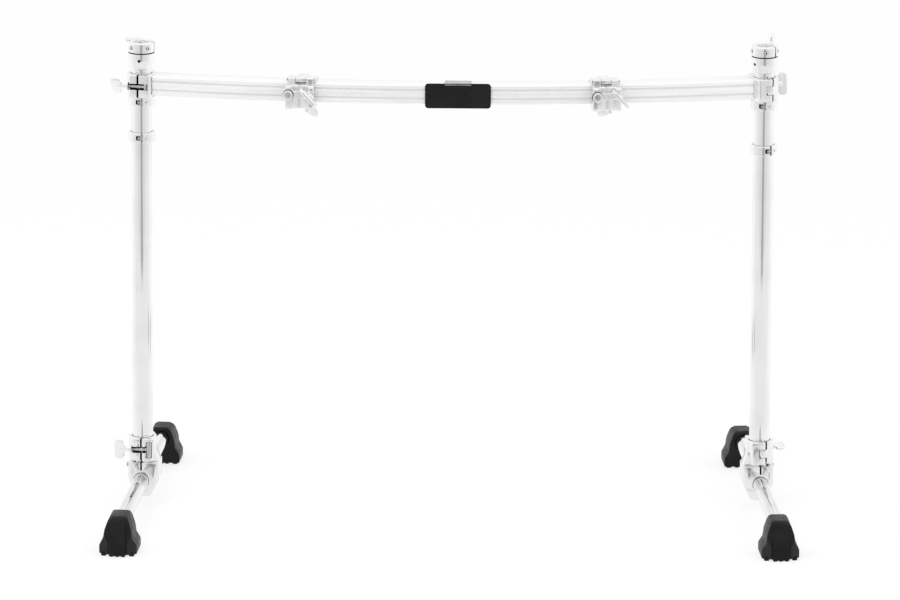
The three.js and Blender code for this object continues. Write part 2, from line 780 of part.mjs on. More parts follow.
function railScrew() {
  const rodTop = -railHeight / 2 - fitGap * 2;
  const bossTop = -railHeight / 2 - shelfThickness - fitGap * 3;
  const rod = drum(railScrewRadius, bossTop - overrun, rodTop, smallSides);
  const boss = drum(railScrewBoss, bossTop - railScrewBossHeight, bossTop, smallSides);
  const wingTop = bossTop - overrun;
  const outline = screwWingShares.map(([along, down]) =>
    [along * railScrewWing, wingTop - down * railScrewWingHeight]);
  const wing = profileXZ(outline, -wingThickness / 2, wingThickness / 2);
  return join(rod, boss, wing);
}

function pipeClamp(name, place, screwTurn) {
  const group = new THREE.Group();
  const boltFront = strapFront - partingGap;
  const jawBolt = part(`${name}_jaw_bolt`, wingBolt(-jawRodLength), 'chrome');
  jawBolt.geometry.rotateX(jawBoltAngle).rotateZ(Math.PI / 2).translate(jawBoltX, boltFront, strapLift);
  const screw = part(`${name}_rail_screw`, railScrew(), 'chrome');
  at(screw, railScrewX, railScrewY, 0, screwTurn);
  group.add(
    part(`${name}_body`, pipeClampBody(), 'chrome'),
    part(`${name}_hook`, pipeClampHook(), 'chrome'),
    part(`${name}_hook_pin`, pipeClampHookPin(), 'steel'),
    part(`${name}_strap`, pipeClampStrap(), 'chrome'),
    part(`${name}_strap_pin`, pipeClampStrapPin(), 'steel'),
    jawBolt,
    screw,
  );
  const turn = Math.asin(place / railRadius);
  return at(group, place, railCentreY - railRadius * Math.cos(turn), railMiddle, turn);
}

// Whole frame

const sides = [
  {
    name: 'left', sign: -1, turn: 0, cupTurn: 0.55, ringTurn: 0.58, wingRoll: 1.45,
    railNutTurn: 0.75, baseNutTurn: 0.15, lowerDrop: lowerLockDrops[0], lowerTurn: lockAngles[0],
  },
  {
    name: 'right', sign: 1, turn: Math.PI, cupTurn: 0.12, ringTurn: 0.09, wingRoll: 0,
    railNutTurn: 0.1, baseNutTurn: 1.57, lowerDrop: lowerLockDrops[1], lowerTurn: lockAngles[1],
  },
];

const screwAngles = [-0.5, Math.PI - 0.5];

function topPieces(side) {
  const wingSeat = -cupRadius - topBossStand - partingGap;
  const wing = part(`${side.name}_top_wing_bolt`, wingBolt(-wingSeat - ringBore), 'chrome');
  wing.geometry.rotateX(side.wingRoll).rotateZ(Math.PI / 2).translate(0, wingSeat, 0);
  return [
    part(`${side.name}_post`, postTube(), 'chrome'),
    at(part(`${side.name}_top_cup`, topCup(), 'chrome'), 0, 0, 0, side.cupTurn),
    at(part(`${side.name}_top_ring`, topRing(), 'chrome'), 0, 0, 0, side.ringTurn),
    at(wing, 0, 0, ringMiddle, topWingAngle + side.ringTurn),
  ];
}

function lockPieces(name, top, turn) {
  return [
    at(part(`${name}_lock`, stopLock(), 'chrome'), 0, 0, top - lockHeight, turn),
    at(part(`${name}_lock_bolt`, lockBolt(), 'steel'), 0, 0, top - lockHeight, turn),
  ];
}

// Base clamp, leg and feet of one side, turned by the splayAngle of the leg
function basePieces(side) {
  const base = new THREE.Group();
  const clamp = new THREE.Group();
  clamp.add(...clampPieces(`${side.name}_base`, side.baseNutTurn));
  const leg = new THREE.Group();
  leg.add(
    at(part(`${side.name}_leg_tube`, legTube(), 'chrome'), 0, -legOffset, 0),
    at(part(`${side.name}_front_foot`, rubberFoot(), 'rubber'), 0, -legOffset, 0),
    at(part(`${side.name}_back_foot`, rubberFoot(), 'rubber'), 0, -legOffset, 0, Math.PI),
  );
  base.add(
    part(`${side.name}_base_casting`, baseCasting(), 'chrome'),
    part(`${side.name}_leg_bolt`, legBolt(), 'steel'),
    at(clamp, 0, 0, baseBase),
    at(leg, 0, 0, 0, side.turn),
  );
  return at(base, 0, 0, 0, side.turn + side.sign * splayAngle);
}

// All that one post carries, on the post's axis
function postEnd(side) {
  const group = new THREE.Group();
  const railClamp = new THREE.Group();
  railClamp.add(
    part(`${side.name}_rail_clamp_body`, railClampBody(), 'chrome'),
    ...clampPieces(`${side.name}_rail_clamp`, side.railNutTurn),
  );
  group.add(
    ...topPieces(side),
    at(railClamp, 0, 0, railClampBase, side.turn + side.sign * railEndAngle),
    ...lockPieces(`${side.name}_upper`, upperLockTop, lockAngles[0]),
    ...lockPieces(`${side.name}_lower`, upperLockTop - side.lowerDrop, side.lowerTurn),
    basePieces(side),
  );
  return at(group, side.sign * halfSpacing, 0, 0);
}

const frame = new THREE.Group();
frame.add(
  part('rail', rail(), 'satin'),
  at(part('badge_plate', badgePlate(), 'enamel'), badgeCentre, railArcY(badgeCentre), 0),
  ...sides.map(postEnd),
  ...pipeClampPlaces.map((place, i) => pipeClamp(`pipe_clamp_${i + 1}`, place, screwAngles[i])),
);

// The legs reach further to the front, so the posts stand behind the frame's middle
frame.position.y = legOffset * Math.cos(splayAngle);

export default frame;
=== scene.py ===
import bpy
import json
import math
from mathutils import Matrix, Vector


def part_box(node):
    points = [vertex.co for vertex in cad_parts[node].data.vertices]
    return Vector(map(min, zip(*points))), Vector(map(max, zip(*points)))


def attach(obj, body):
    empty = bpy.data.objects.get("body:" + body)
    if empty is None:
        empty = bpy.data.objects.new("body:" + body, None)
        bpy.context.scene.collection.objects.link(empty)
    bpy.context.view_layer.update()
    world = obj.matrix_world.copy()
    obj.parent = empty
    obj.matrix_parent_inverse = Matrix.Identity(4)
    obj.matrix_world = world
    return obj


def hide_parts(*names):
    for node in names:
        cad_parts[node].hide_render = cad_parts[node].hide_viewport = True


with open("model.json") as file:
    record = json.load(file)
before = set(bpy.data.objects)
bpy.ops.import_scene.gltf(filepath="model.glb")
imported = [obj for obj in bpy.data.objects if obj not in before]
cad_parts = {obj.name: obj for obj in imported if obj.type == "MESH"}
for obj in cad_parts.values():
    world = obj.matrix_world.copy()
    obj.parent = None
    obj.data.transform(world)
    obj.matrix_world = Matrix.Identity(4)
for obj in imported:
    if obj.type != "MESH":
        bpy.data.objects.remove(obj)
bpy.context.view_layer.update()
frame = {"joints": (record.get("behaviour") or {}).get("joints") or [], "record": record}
joints = {joint["name"]: joint for joint in frame["joints"]}
bodyOf = {node: body for body, nodes in frame["record"]["behaviour"]["bodies"].items() for node in nodes}
mm = 0.001
over = 5  # how far a cutting tool stands past what it cuts
print("frame loaded:", len(bodyOf), "nodes")


# Tools of the bench, all in millimetres

def pickOnly(piece):
    bpy.ops.object.select_all(action="DESELECT")
    piece.select_set(True)
    bpy.context.view_layer.objects.active = piece


def settled():
    piece = bpy.context.object
    pickOnly(piece)
    bpy.ops.object.transform_apply(location=True, rotation=True, scale=True)
    return piece


def drum(radius, low, high, axis="Z", at=(0, 0), sides=64):
    bpy.ops.object.select_all(action="DESELECT")
    middle = (low + high) / 2
    turn = {"X": (0, math.pi / 2, 0), "Y": (math.pi / 2, 0, 0), "Z": (0, 0, 0)}[axis]
    place = {"X": (middle, *at), "Y": (at[0], middle, at[1]), "Z": (*at, middle)}[axis]
    bpy.ops.mesh.primitive_cylinder_add(vertices=sides, radius=radius * mm, depth=(high - low) * mm,
                                        location=Vector(place) * mm, rotation=turn)
    return settled()


def block(x0, x1, y0, y1, z0, z1):
    bpy.ops.object.select_all(action="DESELECT")
    bpy.ops.mesh.primitive_cube_add(size=1, location=Vector((x0 + x1, y0 + y1, z0 + z1)) * mm / 2)
    bpy.context.object.scale = Vector((x1 - x0, y1 - y0, z1 - z0)) * mm
    return settled()


def outlineLoop(points, plane, fill):
    bpy.ops.object.select_all(action="DESELECT")
    bpy.ops.mesh.primitive_circle_add(vertices=len(points), fill_type=fill)
    piece = bpy.context.object
    for vertex, (a, b) in zip(piece.data.vertices, points):
        vertex.co = Vector({"XY": (a, b, 0), "XZ": (a, 0, b), "YZ": (0, a, b)}[plane]) * mm
    return piece


def mend(piece, merge=0.002):
    pickOnly(piece)
    bpy.ops.object.mode_set(mode="EDIT")
    bpy.ops.mesh.select_all(action="SELECT")
    bpy.ops.mesh.remove_doubles(threshold=merge * mm)
    bpy.ops.mesh.dissolve_degenerate(threshold=merge * mm / 2)
    bpy.ops.mesh.delete_loose()
    bpy.ops.mesh.select_all(action="SELECT")
    bpy.ops.mesh.normals_make_consistent(inside=False)
    if insideOut(piece):
        bpy.ops.mesh.flip_normals()
    bpy.ops.object.mode_set(mode="OBJECT")
    return piece


def insideOut(piece):
    bpy.ops.object.mode_set(mode="OBJECT")
    points = [vertex.co for vertex in piece.data.vertices]
    total = 0
    for face in piece.data.polygons:
        corners = [points[i] for i in face.vertices]
        for b, c in zip(corners[1:], corners[2:]):
            total += corners[0].dot(b.cross(c))
    bpy.ops.object.mode_set(mode="EDIT")
    return total < 0


def plank(points, low, high, plane="XY"):  # an outline drawn out square to its plane
    piece = outlineLoop(points, plane, "NGON")
    along = Vector({"XY": (0, 0, 1), "XZ": (0, 1, 0), "YZ": (1, 0, 0)}[plane])
    piece.data.transform(Matrix.Translation(along * low * mm))
    pickOnly(piece)
    bpy.ops.object.mode_set(mode="EDIT")
    bpy.ops.mesh.select_all(action="SELECT")
    bpy.ops.mesh.extrude_region_move(TRANSFORM_OT_translate={"value": along * (high - low) * mm})
    bpy.ops.object.mode_set(mode="OBJECT")
    return mend(piece)


def turned(profile, axis="Z", sides=72):  # a closed profile of (radius, height), spun round
    piece = outlineLoop(profile, "XZ", "NOTHING")
    pickOnly(piece)
    bpy.ops.object.mode_set(mode="EDIT")
    bpy.ops.mesh.select_all(action="SELECT")
    bpy.ops.mesh.spin(steps=sides, angle=2 * math.pi, center=(0, 0, 0), axis=(0, 0, 1))
    bpy.ops.object.mode_set(mode="OBJECT")
    if axis == "X":
        piece.data.transform(Matrix.Rotation(math.pi / 2, 4, "Y"))
    if axis == "Y":
        piece.data.transform(Matrix.Rotation(-math.pi / 2, 4, "X"))
    return mend(piece)


def carve(mode, piece, *tools):
    for tool in tools:
        pickOnly(piece)
        step = piece.modifiers.new("carve", "BOOLEAN")
        step.operation = mode
        step.solver = "EXACT"
        step.object = tool
        bpy.ops.object.modifier_apply(modifier="carve")
        bpy.data.meshes.remove(tool.data)
    return piece


def cut(piece, *tools):
    return carve("DIFFERENCE", piece, *tools)


def weld(piece, *others):
    return carve("UNION", piece, *others)


def gather(piece, *others):  # closed pieces kept as they are in one object, the bare ones in the first finish
    finish = next((part.data.materials[0] for part in (piece, *others) if part.data.materials), None)
    bpy.ops.object.select_all(action="DESELECT")
    for other in (piece, *others):
        if finish and not other.data.materials:
            finished(other, finish)
        other.select_set(True)
    bpy.context.view_layer.objects.active = piece
    bpy.ops.object.join()
    return piece


def roundEdges(piece, width, angle=35, segments=2):
    mend(piece, 0.02)
    bevel = piece.modifiers.new("round", "BEVEL")
    bevel.width = width * mm
    bevel.segments = segments
    bevel.limit_method = "ANGLE"
    bevel.angle_limit = math.radians(angle)
    bevel.use_clamp_overlap = False
    bevel.miter_outer = "MITER_ARC"
    bpy.ops.object.modifier_apply(modifier="round")
    return mend(piece)


def filleted(points, radii, steps=5):  # an outline with its corners rounded
    loop = []
    for i, corner in enumerate(points):
        radius = radii[i] if isinstance(radii, (list, tuple)) else radii
        before, here, after = Vector(points[i - 1]), Vector(corner), Vector(points[(i + 1) % len(points)])
        u, v = (before - here).normalized(), (after - here).normalized()
        half = u.angle(v) / 2
        if radius == 0 or half > 1.55:  # no radius, or all but straight on
            loop.append(tuple(here))
            continue
        reach = min(radius / math.tan(half), 0.48 * min((before - here).length, (after - here).length))
        radius = reach * math.tan(half)
        centre = here + (u + v).normalized() * radius / math.sin(half)
        start, end = here + u * reach - centre, here + v * reach - centre
        first = math.atan2(start.y, start.x)
        sweep = (math.atan2(end.y, end.x) - first + math.pi) % (2 * math.pi) - math.pi
        loop += [(centre.x + radius * math.cos(first + sweep * k / steps),
                  centre.y + radius * math.sin(first + sweep * k / steps)) for k in range(steps + 1)]
    return loop


def moved(piece, x=0, y=0, z=0, turn=0, roll=0):
    place = Matrix.Translation(Vector((x, y, z)) * mm) @ Matrix.Rotation(turn, 4, "Z")
    piece.data.transform(place @ Matrix.Rotation(roll, 4, "X"))
    return piece


def another(piece):
    pickOnly(piece)
    bpy.ops.object.duplicate()
    return bpy.context.object


def facesIn(at, way, x=0, y=0):  # the face looks towards an upright axis
    away = Vector((at.x - x, at.y - y))
    return away.dot(way.xy) < -0.3 * away.length


def finished(piece, finish):
    piece.data.materials.append(finish)
    return piece


def discard(*models):
    for model in models:
        bpy.data.meshes.remove(model.data)


def lined(piece, outside, inside, isInside):  # a second finish on the faces that pass the test
    piece.data.materials.clear()
    finished(finished(piece, outside), inside)
    for face in piece.data.polygons:
        face.material_index = int(isInside(face.center / mm, face.normal))
    return piece


def dress(piece, node, material, smooth=32):  # names a piece after its node and puts it on its body
    piece.name = node + "_made"
    pickOnly(piece)
    bpy.ops.object.shade_smooth_by_angle(angle=math.radians(smooth))
    if not piece.data.materials:
        finished(piece, material)
    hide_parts(node)
    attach(piece, bodyOf[node])
    return piece


# Camera

postAxisY = (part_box("left_post")[0].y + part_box("left_post")[1].y) / 2
view = {"place": (0.10817, postAxisY - 16.0, 4.4359), "yaw": -0.00696, "pitch": 0.24762, "roll": 0.00505,
        "lens": 358.45, "film": 36}
ahead = Vector((math.sin(view["yaw"]) * math.cos(view["pitch"]),
                math.cos(view["yaw"]) * math.cos(view["pitch"]), -math.sin(view["pitch"])))
level = Vector((math.cos(view["yaw"]), -math.sin(view["yaw"]), 0))
above = level.cross(ahead)
across = level * math.cos(view["roll"]) + above * math.sin(view["roll"])
above = above * math.cos(view["roll"]) - level * math.sin(view["roll"])
bpy.ops.object.camera_add()
camera = bpy.context.object
camera.data.lens = view["lens"]
camera.data.sensor_width = view["film"]
camera.data.sensor_fit = "HORIZONTAL"
camera.matrix_world = Matrix.Translation(view["place"]) @ Matrix((across, above, -ahead)).transposed().to_4x4()
bpy.context.scene.camera = camera
bpy.context.scene.view_settings.view_transform = "Standard"
print("camera set")


# Finishes

def plugged(tree, socket, value):  # a number is set on the socket and an output is linked to it
    if isinstance(value, (int, float)):
        socket.default_value = value
    else:
        tree.links.new(value, socket)


def reckoned(tree, operation, a, b):
    node = tree.nodes.new("ShaderNodeMath")
    node.operation = operation
    plugged(tree, node.inputs[0], a)
    plugged(tree, node.inputs[1], b)
    return node.outputs["Value"]


def grain(tree, place, scale, detail, stretch=None):
    if stretch:
        mapping = tree.nodes.new("ShaderNodeMapping")
        mapping.inputs["Scale"].default_value = stretch
        tree.links.new(place, mapping.inputs["Vector"])
        place = mapping.outputs["Vector"]
    noise = tree.nodes.new("ShaderNodeTexNoise")
    noise.inputs["Scale"].default_value = scale
    noise.inputs["Detail"].default_value = detail
    tree.links.new(place, noise.inputs["Vector"])
    return noise.outputs["Fac"]


def tinted(tree, value, dark, light, spread, socket):
    ramp = tree.nodes.new("ShaderNodeValToRGB")
    for element, colour, position in zip(ramp.color_ramp.elements, (dark, light), spread):
        element.color = (*colour, 1)
        element.position = position
    tree.links.new(value, ramp.inputs["Fac"])
    tree.links.new(ramp.outputs["Color"], socket)


def ranged(tree, value, low, high, socket):
    spread = tree.nodes.new("ShaderNodeMapRange")
    for name, number in (("From Min", 0.3), ("From Max", 0.7), ("To Min", low), ("To Max", high)):
        spread.inputs[name].default_value = number
    tree.links.new(value, spread.inputs["Value"])
    tree.links.new(spread.outputs["Result"], socket)


def bumped(tree, value, strength, distance, shader):
    bump = tree.nodes.new("ShaderNodeBump")
    bump.inputs["Strength"].default_value = strength
    bump.inputs["Distance"].default_value = distance
    tree.links.new(value, bump.inputs["Height"])
    tree.links.new(bump.outputs["Normal"], shader.inputs["Normal"])


# clouds, haze and bumps are a noise's scale and detail, bump is its strength and its depth in metres,
# and follow is a function that lays the clouds and bumps along the piece
def makeFinish(name, facts, follow=None):
    material = bpy.data.materials.new(name)
    material.use_nodes = True
    tree = material.node_tree
    shader = tree.nodes["Principled BSDF"]
    # shade scales both tones: below 1 it paints shade, above 1 it paints light
    dark, light = ([value * facts.get("shade", 1) for value in facts[tone]] for tone in ("dark", "light"))
    shader.inputs["Base Color"].default_value = (*light, 1)
    shader.inputs["Metallic"].default_value = facts["metallic"]
    shader.inputs["Specular IOR Level"].default_value = facts.get("specular", 0.5)
    place = tree.nodes.new("ShaderNodeTexCoord").outputs["Object"]
    pattern = follow(tree, place) if follow else place
    tinted(tree, grain(tree, pattern, *facts["clouds"]), dark, light, facts.get("spread", (0.3, 0.7)),
           shader.inputs["Base Color"])
    ranged(tree, grain(tree, place, *facts["haze"]), *facts["rough"], shader.inputs["Roughness"])
    if "bumps" in facts:
        bumped(tree, grain(tree, pattern, *facts["bumps"]), *facts["bump"], shader)
    return material


def roundTheArc(tree, place):  # the rail's own places: its arc's radius and height, and a little of its length
    arcCentre, lengthShare = 2.506, 0.01
    shift = tree.nodes.new("ShaderNodeMapping")
    shift.inputs["Location"].default_value = (0, -arcCentre, 0)
    tree.links.new(place, shift.inputs["Vector"])
    split = tree.nodes.new("ShaderNodeSeparateXYZ")
    tree.links.new(shift.outputs["Vector"], split.inputs["Vector"])
    flat = tree.nodes.new("ShaderNodeCombineXYZ")
    tree.links.new(split.outputs["X"], flat.inputs["X"])
    tree.links.new(split.outputs["Y"], flat.inputs["Y"])
    reach = tree.nodes.new("ShaderNodeVectorMath")
    reach.operation = "LENGTH"
    tree.links.new(flat.outputs["Vector"], reach.inputs[0])
    polar = tree.nodes.new("ShaderNodeCombineXYZ")
    tree.links.new(reckoned(tree, "MULTIPLY", split.outputs["X"], lengthShare), polar.inputs["X"])
    tree.links.new(reach.outputs["Value"], polar.inputs["Y"])
    tree.links.new(split.outputs["Z"], polar.inputs["Z"])
    return polar.outputs["Vector"]


chrome = makeFinish("polishedChrome", {
    "metallic": 1, "dark": (0.86, 0.865, 0.875), "light": (0.95, 0.95, 0.955), "spread": (0.2, 0.55),
    "clouds": (14, 3), "haze": (160, 5), "rough": (0.045, 0.11), "bumps": (56, 3), "bump": (0.05, 0.0004)})
cast = makeFinish("castChrome", {
    "metallic": 1, "dark": (0.84, 0.845, 0.855), "light": (0.94, 0.94, 0.945), "spread": (0.2, 0.6),
    "clouds": (22, 3), "haze": (150, 3), "rough": (0.1, 0.2), "bumps": (900, 2), "bump": (0.06, 0.0003)})
steel = makeFinish("turnedSteel", {
    "metallic": 1, "dark": (0.45, 0.45, 0.46), "light": (0.7, 0.7, 0.71),
    "clouds": (32.5, 3), "haze": (260, 3), "rough": (0.2, 0.34), "bumps": (260, 2), "bump": (0.08, 0.0003)})
enamel = makeFinish("blackEnamel", {
    "metallic": 0, "specular": 0.2, "dark": (0.006, 0.006, 0.0065), "light": (0.011, 0.011, 0.0115),
    "clouds": (35, 3), "haze": (700 / 6, 3), "rough": (0.24, 0.38), "bumps": (700, 2), "bump": (0.1, 0.0003)})
# a near-black finish that paints shade into bores, gaps, slots, seams and sockets, where only shade falls
paintedShade = makeFinish("paintedShadeBlack", {
    "metallic": 0, "specular": 0.15, "dark": (0.004, 0.004, 0.004), "light": (0.012, 0.012, 0.012),
    "clouds": (50, 3), "haze": (300, 3), "rough": (0.55, 0.75)})

worked = {"dark": (0.84, 0.84, 0.845), "light": (0.93, 0.93, 0.935),
          "clouds": (220, 3, (1, 1, 8)), "haze": (220 / 3, 3)}
bored = makeFinish("boredMetal", {**worked, "metallic": 0.1, "rough": (0.4, 0.55)})
honed = makeFinish("honedMetal", {**worked, "metallic": 0.6, "rough": (0.18, 0.28)})

drawn = {"metallic": 0.45, "dark": (0.84, 0.84, 0.845), "light": (0.94, 0.94, 0.945), "spread": (0.3, 0.6),
         "clouds": (700, 2), "haze": (40, 4), "rough": (0.26, 0.4), "bumps": (700, 2), "bump": (0.12, 0.0002)}
railFinish = makeFinish("drawnAluminium", drawn, roundTheArc)
# the rail's finish made 0.85 times darker, as painted shade in the grooves
paintedGrooveShade = makeFinish("drawnAluminiumPaintedGrooveShade", {**drawn, "shade": 0.85}, roundTheArc)

moulded = {"metallic": 0, "specular": 0.2, "dark": (0.004, 0.004, 0.0045), "light": (0.01, 0.01, 0.0105),
           "clouds": (30, 6), "haze": (90, 3), "rough": (0.34, 0.5), "bumps": (1400, 3), "bump": (0.35, 0.0006)}
rubber = makeFinish("mouldedRubber", moulded)
# the rubber made 2.6 times lighter, as painted light
paintedLitRubber = makeFinish("rubberWithPaintedLight", {**moulded, "shade": 2.6})
print("finishes made")


# Where the pieces stand

sides = {
    "left": {"sign": -1, "cupTurn": 0.62, "ringTurn": 0.58, "wingRoll": 1.45, "railNut": 0.75, "baseNut": 0.4,
             "lockTurns": (0.04, 0.04)},
    "right": {"sign": 1, "cupTurn": -0.1, "ringTurn": 0.09, "wingRoll": 0, "railNut": 0.22, "baseNut": 1.57,
              "lockTurns": (0.04, 0.56)},
}
for side, facts in sides.items():
    low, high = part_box(side + "_post")
    facts["x"], facts["y"] = (low.x + high.x) / 2 / mm, (low.y + high.y) / 2 / mm
    facts["postFoot"], facts["postTop"] = low.z / mm, high.z / mm
    for clamp in ("rail", "base"):
        axis = joints[f"{side}_{clamp}_nut_turn"]["axis"]
        facts[clamp + "Turn"] = math.atan2(-axis[1], -axis[0])
    facts["railZ"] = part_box(side + "_rail_clamp_gate")[0].z / mm
    facts["baseZ"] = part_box(side + "_base_gate")[0].z / mm
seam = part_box("left_top_ring")[0].z / mm
upright = {"radius": 19.05, "bore": 19.4, "gap": 0.35}


# Posts

def makePosts():
    tube = {"wall": 2, "rim": 0.5}
    for side, facts in sides.items():
        outer, inner, rim = upright["radius"], upright["radius"] - tube["wall"], tube["rim"]
        low, high = facts["postFoot"], facts["postTop"]
        piece = turned([(inner, low), (outer - rim, low), (outer, low + rim), (outer, high - rim),
                        (outer - rim, high), (inner, high)], sides=96)
        dress(moved(piece, facts["x"], facts["y"]), side + "_post", chrome)


# Cups and rings on the post tops

ring = {"height": 19, "radius": 24, "bore": 15, "chamfer": 2.4, "seamCut": 0.9, "slit": 3, "slitAngle": 0.85,
        "screws": (-1.48, 0, 1.48), "screw": 3.4, "screwStand": 1.6, "screwReach": 6,
        "boss": 6.5, "bossFrom": 15.5, "bossStand": 5, "bossAngle": 2.76, "boltBore": 3.95}
ringMiddle = seam + ring["height"] / 2


# the socket's faces are painted black as shade, and the thin black ring under the head is a painted shadow
def socketScrew(radius, stand, reach):  # a round head on +X with a six-sided socket, over a dark ring
    socket, deep, shadeStand, shadeWidth = radius * 0.52, 1.2, 0.25, 0.6
    head = turned([(0, 0), (radius, 0), (radius, stand - 0.5), (radius - 0.5, stand), (0, stand)], "X", 32)
    head = cut(head, drum(socket, stand - deep, stand + 1, "X", sides=6))
    head = lined(head, chrome, paintedShade, lambda at, way: (
        stand - deep - 0.1 < at.x < stand - 0.1 and at.yz.length < socket))
    wide = radius + shadeWidth
    shade = turned([(0, 0), (wide, 0), (wide, shadeStand), (0, shadeStand)], "X", 32)
    return gather(head, drum(radius * 0.8, -reach, 0.2, "X", sides=24), finished(shade, paintedShade))


def makeCup():
    cup = {"height": 30, "top": 24, "foot": 21.4, "bore": 19.4, "mouth": 15, "lip": 3, "seamCut": 0.9,
           "hole": 2.8, "holeAngle": -0.77, "holeUp": 16.5}
    grub = {"radius": 2.7, "socket": 1.2, "face": -21.8, "floor": -21, "back": -20}
    foot, top = seam - cup["height"], seam - upright["gap"]
    holeZ, mouth = foot + cup["holeUp"], cup["mouth"]
    body = turned([
        (cup["bore"], foot), (cup["foot"] - 0.9, foot), (cup["foot"] - 0.2, foot + 0.6), (cup["foot"] + 0.2, foot + 2),
        (cup["top"] - 1.1, foot + 11), (cup["top"] - 0.4, foot + 14), (cup["top"], foot + 18), (cup["top"], top - 1),
        (cup["top"] - cup["seamCut"], top), (mouth + 0.4, top), (mouth, top - 0.4), (mouth, seam - cup["lip"]),
        (cup["bore"], seam - cup["lip"]),
    ], sides=96)
    hole = drum(cup["hole"], -30, -upright["radius"] - 0.1, "Y", (0, holeZ), 32)
    body = cut(body, moved(hole, turn=cup["holeAngle"]))

    # the seam's chamfer and the hole's wall get the black finish as painted shade; the grub screw in the hole is made
    # in that black too
    def inSeamOrHole(at, way):
        inHole = at.xy.length < cup["top"] - 0.5 and abs(at.z - holeZ) < cup["hole"] + 0.1
        return at.z > top - cup["seamCut"] or (inHole and way.xy.dot(at.xy) < 0.8 * at.xy.length)

    plug = turned([(0, grub["floor"]), (grub["socket"], grub["floor"]), (grub["socket"], grub["face"]),
                   (grub["radius"], grub["face"]), (grub["radius"], grub["back"]), (0, grub["back"])], "Y", 24)
    plug = moved(finished(plug, paintedShade), z=holeZ, turn=cup["holeAngle"])
    return gather(lined(body, chrome, paintedShade, inSeamOrHole), plug)


def makeRing():
    low, rim = seam, seam + ring["height"]
    inner, outer, soft, seamCut = ring["bore"], ring["radius"], ring["chamfer"], ring["seamCut"]
    band = turned([(inner, low), (outer - seamCut, low), (outer, low + seamCut), (outer, rim - soft),
                   (outer - 0.35, rim - soft + 0.8), (outer - soft + 0.3, rim - 0.3), (outer - soft - 0.4, rim),
                   (inner + 0.6, rim), (inner, rim - 0.6)], sides=96)
    boss, face, facing = ring["boss"], outer + ring["bossStand"], ring["bossAngle"] + math.pi
    boss = turned([(0, ring["bossFrom"]), (boss, ring["bossFrom"]), (boss, face - 0.8), (boss - 0.8, face), (0, face)],
                  "Y", 40)
    band = weld(band, moved(boss, z=ringMiddle, turn=facing))
    slit = block(-ring["slit"] / 2, ring["slit"] / 2, -outer - 9, 0, low - 3, rim + 3)
    band = cut(band, moved(slit, turn=ring["slitAngle"]),
               moved(drum(ring["boltBore"], 0, 40, "Y", sides=32), z=ringMiddle, turn=facing))
    band = lined(band, chrome, bored, lambda at, way: at.xy.length < inner + 0.7 and facesIn(at, way))
    # the chamfer at the ring's foot gets the black finish as painted shade in the seam over the cup
    finished(band, paintedShade)
    for face in band.data.polygons:
        if face.center.z / mm < low + seamCut - 0.1:
            face.material_index = 2
    screws = [moved(moved(socketScrew(ring["screw"], ring["screwStand"], ring["screwReach"]), x=outer),
                    z=ringMiddle, turn=angle - math.pi / 2) for angle in ring["screws"]]
    return gather(band, *screws)


def makeTops():
    cup, band = makeCup(), makeRing()
    for side, facts in sides.items():
        for kind, model in (("cup", cup), ("ring", band)):
            piece = moved(another(model), facts["x"], facts["y"], turn=facts[kind + "Turn"])
            dress(piece, f"{side}_top_{kind}", chrome, 40)
    discard(cup, band)


# Wings: the boss begins at x = 0 and the wing points to -X

def makeWing(bore):
    wing = {"span": 22, "depth": 19, "thick": 6, "soft": 2.4, "boss": 5.8, "bossLength": 13, "bossShare": 0.45,
            "dimple": 1.5, "lobe": ((0.5, 0.2), (0.62, 0.34), (0.68, 0.72), (0.8, 0.95), (1.0, 1.0), (1.25, 0.99),
                                    (1.48, 0.92), (1.58, 0.7), (1.6, 0.35))}
    upper = [(-along * wing["depth"], up * wing["span"]) for along, up in wing["lobe"]]
    outline = filleted(upper + [(x, -z) for x, z in reversed(upper)], 3.4, 3)
    blade = roundEdges(plank(outline, -wing["thick"] / 2, wing["thick"] / 2, "XZ"), wing["soft"], 50, 4)
    length, b = wing["bossLength"] + wing["depth"] * wing["bossShare"], wing["boss"]
    boss = turned([(0, 0), (b - 0.8, 0), (b, -0.8), (b, -3.4), (b - 0.9, -4.4), (b - 1.1, -9),
                   (b - 0.9, -length + 3), (b - 2, -length + 0.6), (0, -length)], "X", 40)
    tip = -wing["lobe"][-1][0] * wing["depth"]
    whole = cut(weld(boss, blade), drum(wing["dimple"], tip - 0.38, tip + 2, "X", sides=20))
    if bore:
        whole = cut(whole, drum(bore, -wing["bossLength"] - wing["depth"] / 2 + 3, 3, "X", sides=40))
    return whole


def rod(radius, low, high, threadTo=None, pitch=1.25, depth=0.45):  # a rod on X, threaded from its low end
    ridges, x = [], low + 0.6
    stop = low if threadTo is None else threadTo
    while x < stop - pitch:
        ridges += [(radius - depth, x), (radius, x + pitch / 2)]
        x += pitch
    return turned([(0, low), (radius - 0.9, low), *ridges, (radius, max(stop, x)), (radius, high - 0.3),
                   (radius - 0.3, high), (0, high)], "X", 32)


def makeTopWings():
    bolt = {"seat": -29.6, "reach": 14.6, "rod": 3.6}
    wing = gather(makeWing(0), rod(bolt["rod"], -3, bolt["reach"]))
    for side, facts in sides.items():
        piece = moved(another(wing), roll=facts["wingRoll"])
        piece = moved(moved(piece, turn=math.pi / 2), y=bolt["seat"])
        piece = moved(piece, facts["x"], facts["y"], ringMiddle, ring["bossAngle"] + facts["ringTurn"])
        dress(piece, side + "_top_wing_bolt", chrome)
    discard(wing)


# Split clamps: the fixed half lies on +X, the swing bolt on -Y, the hinge on +Y

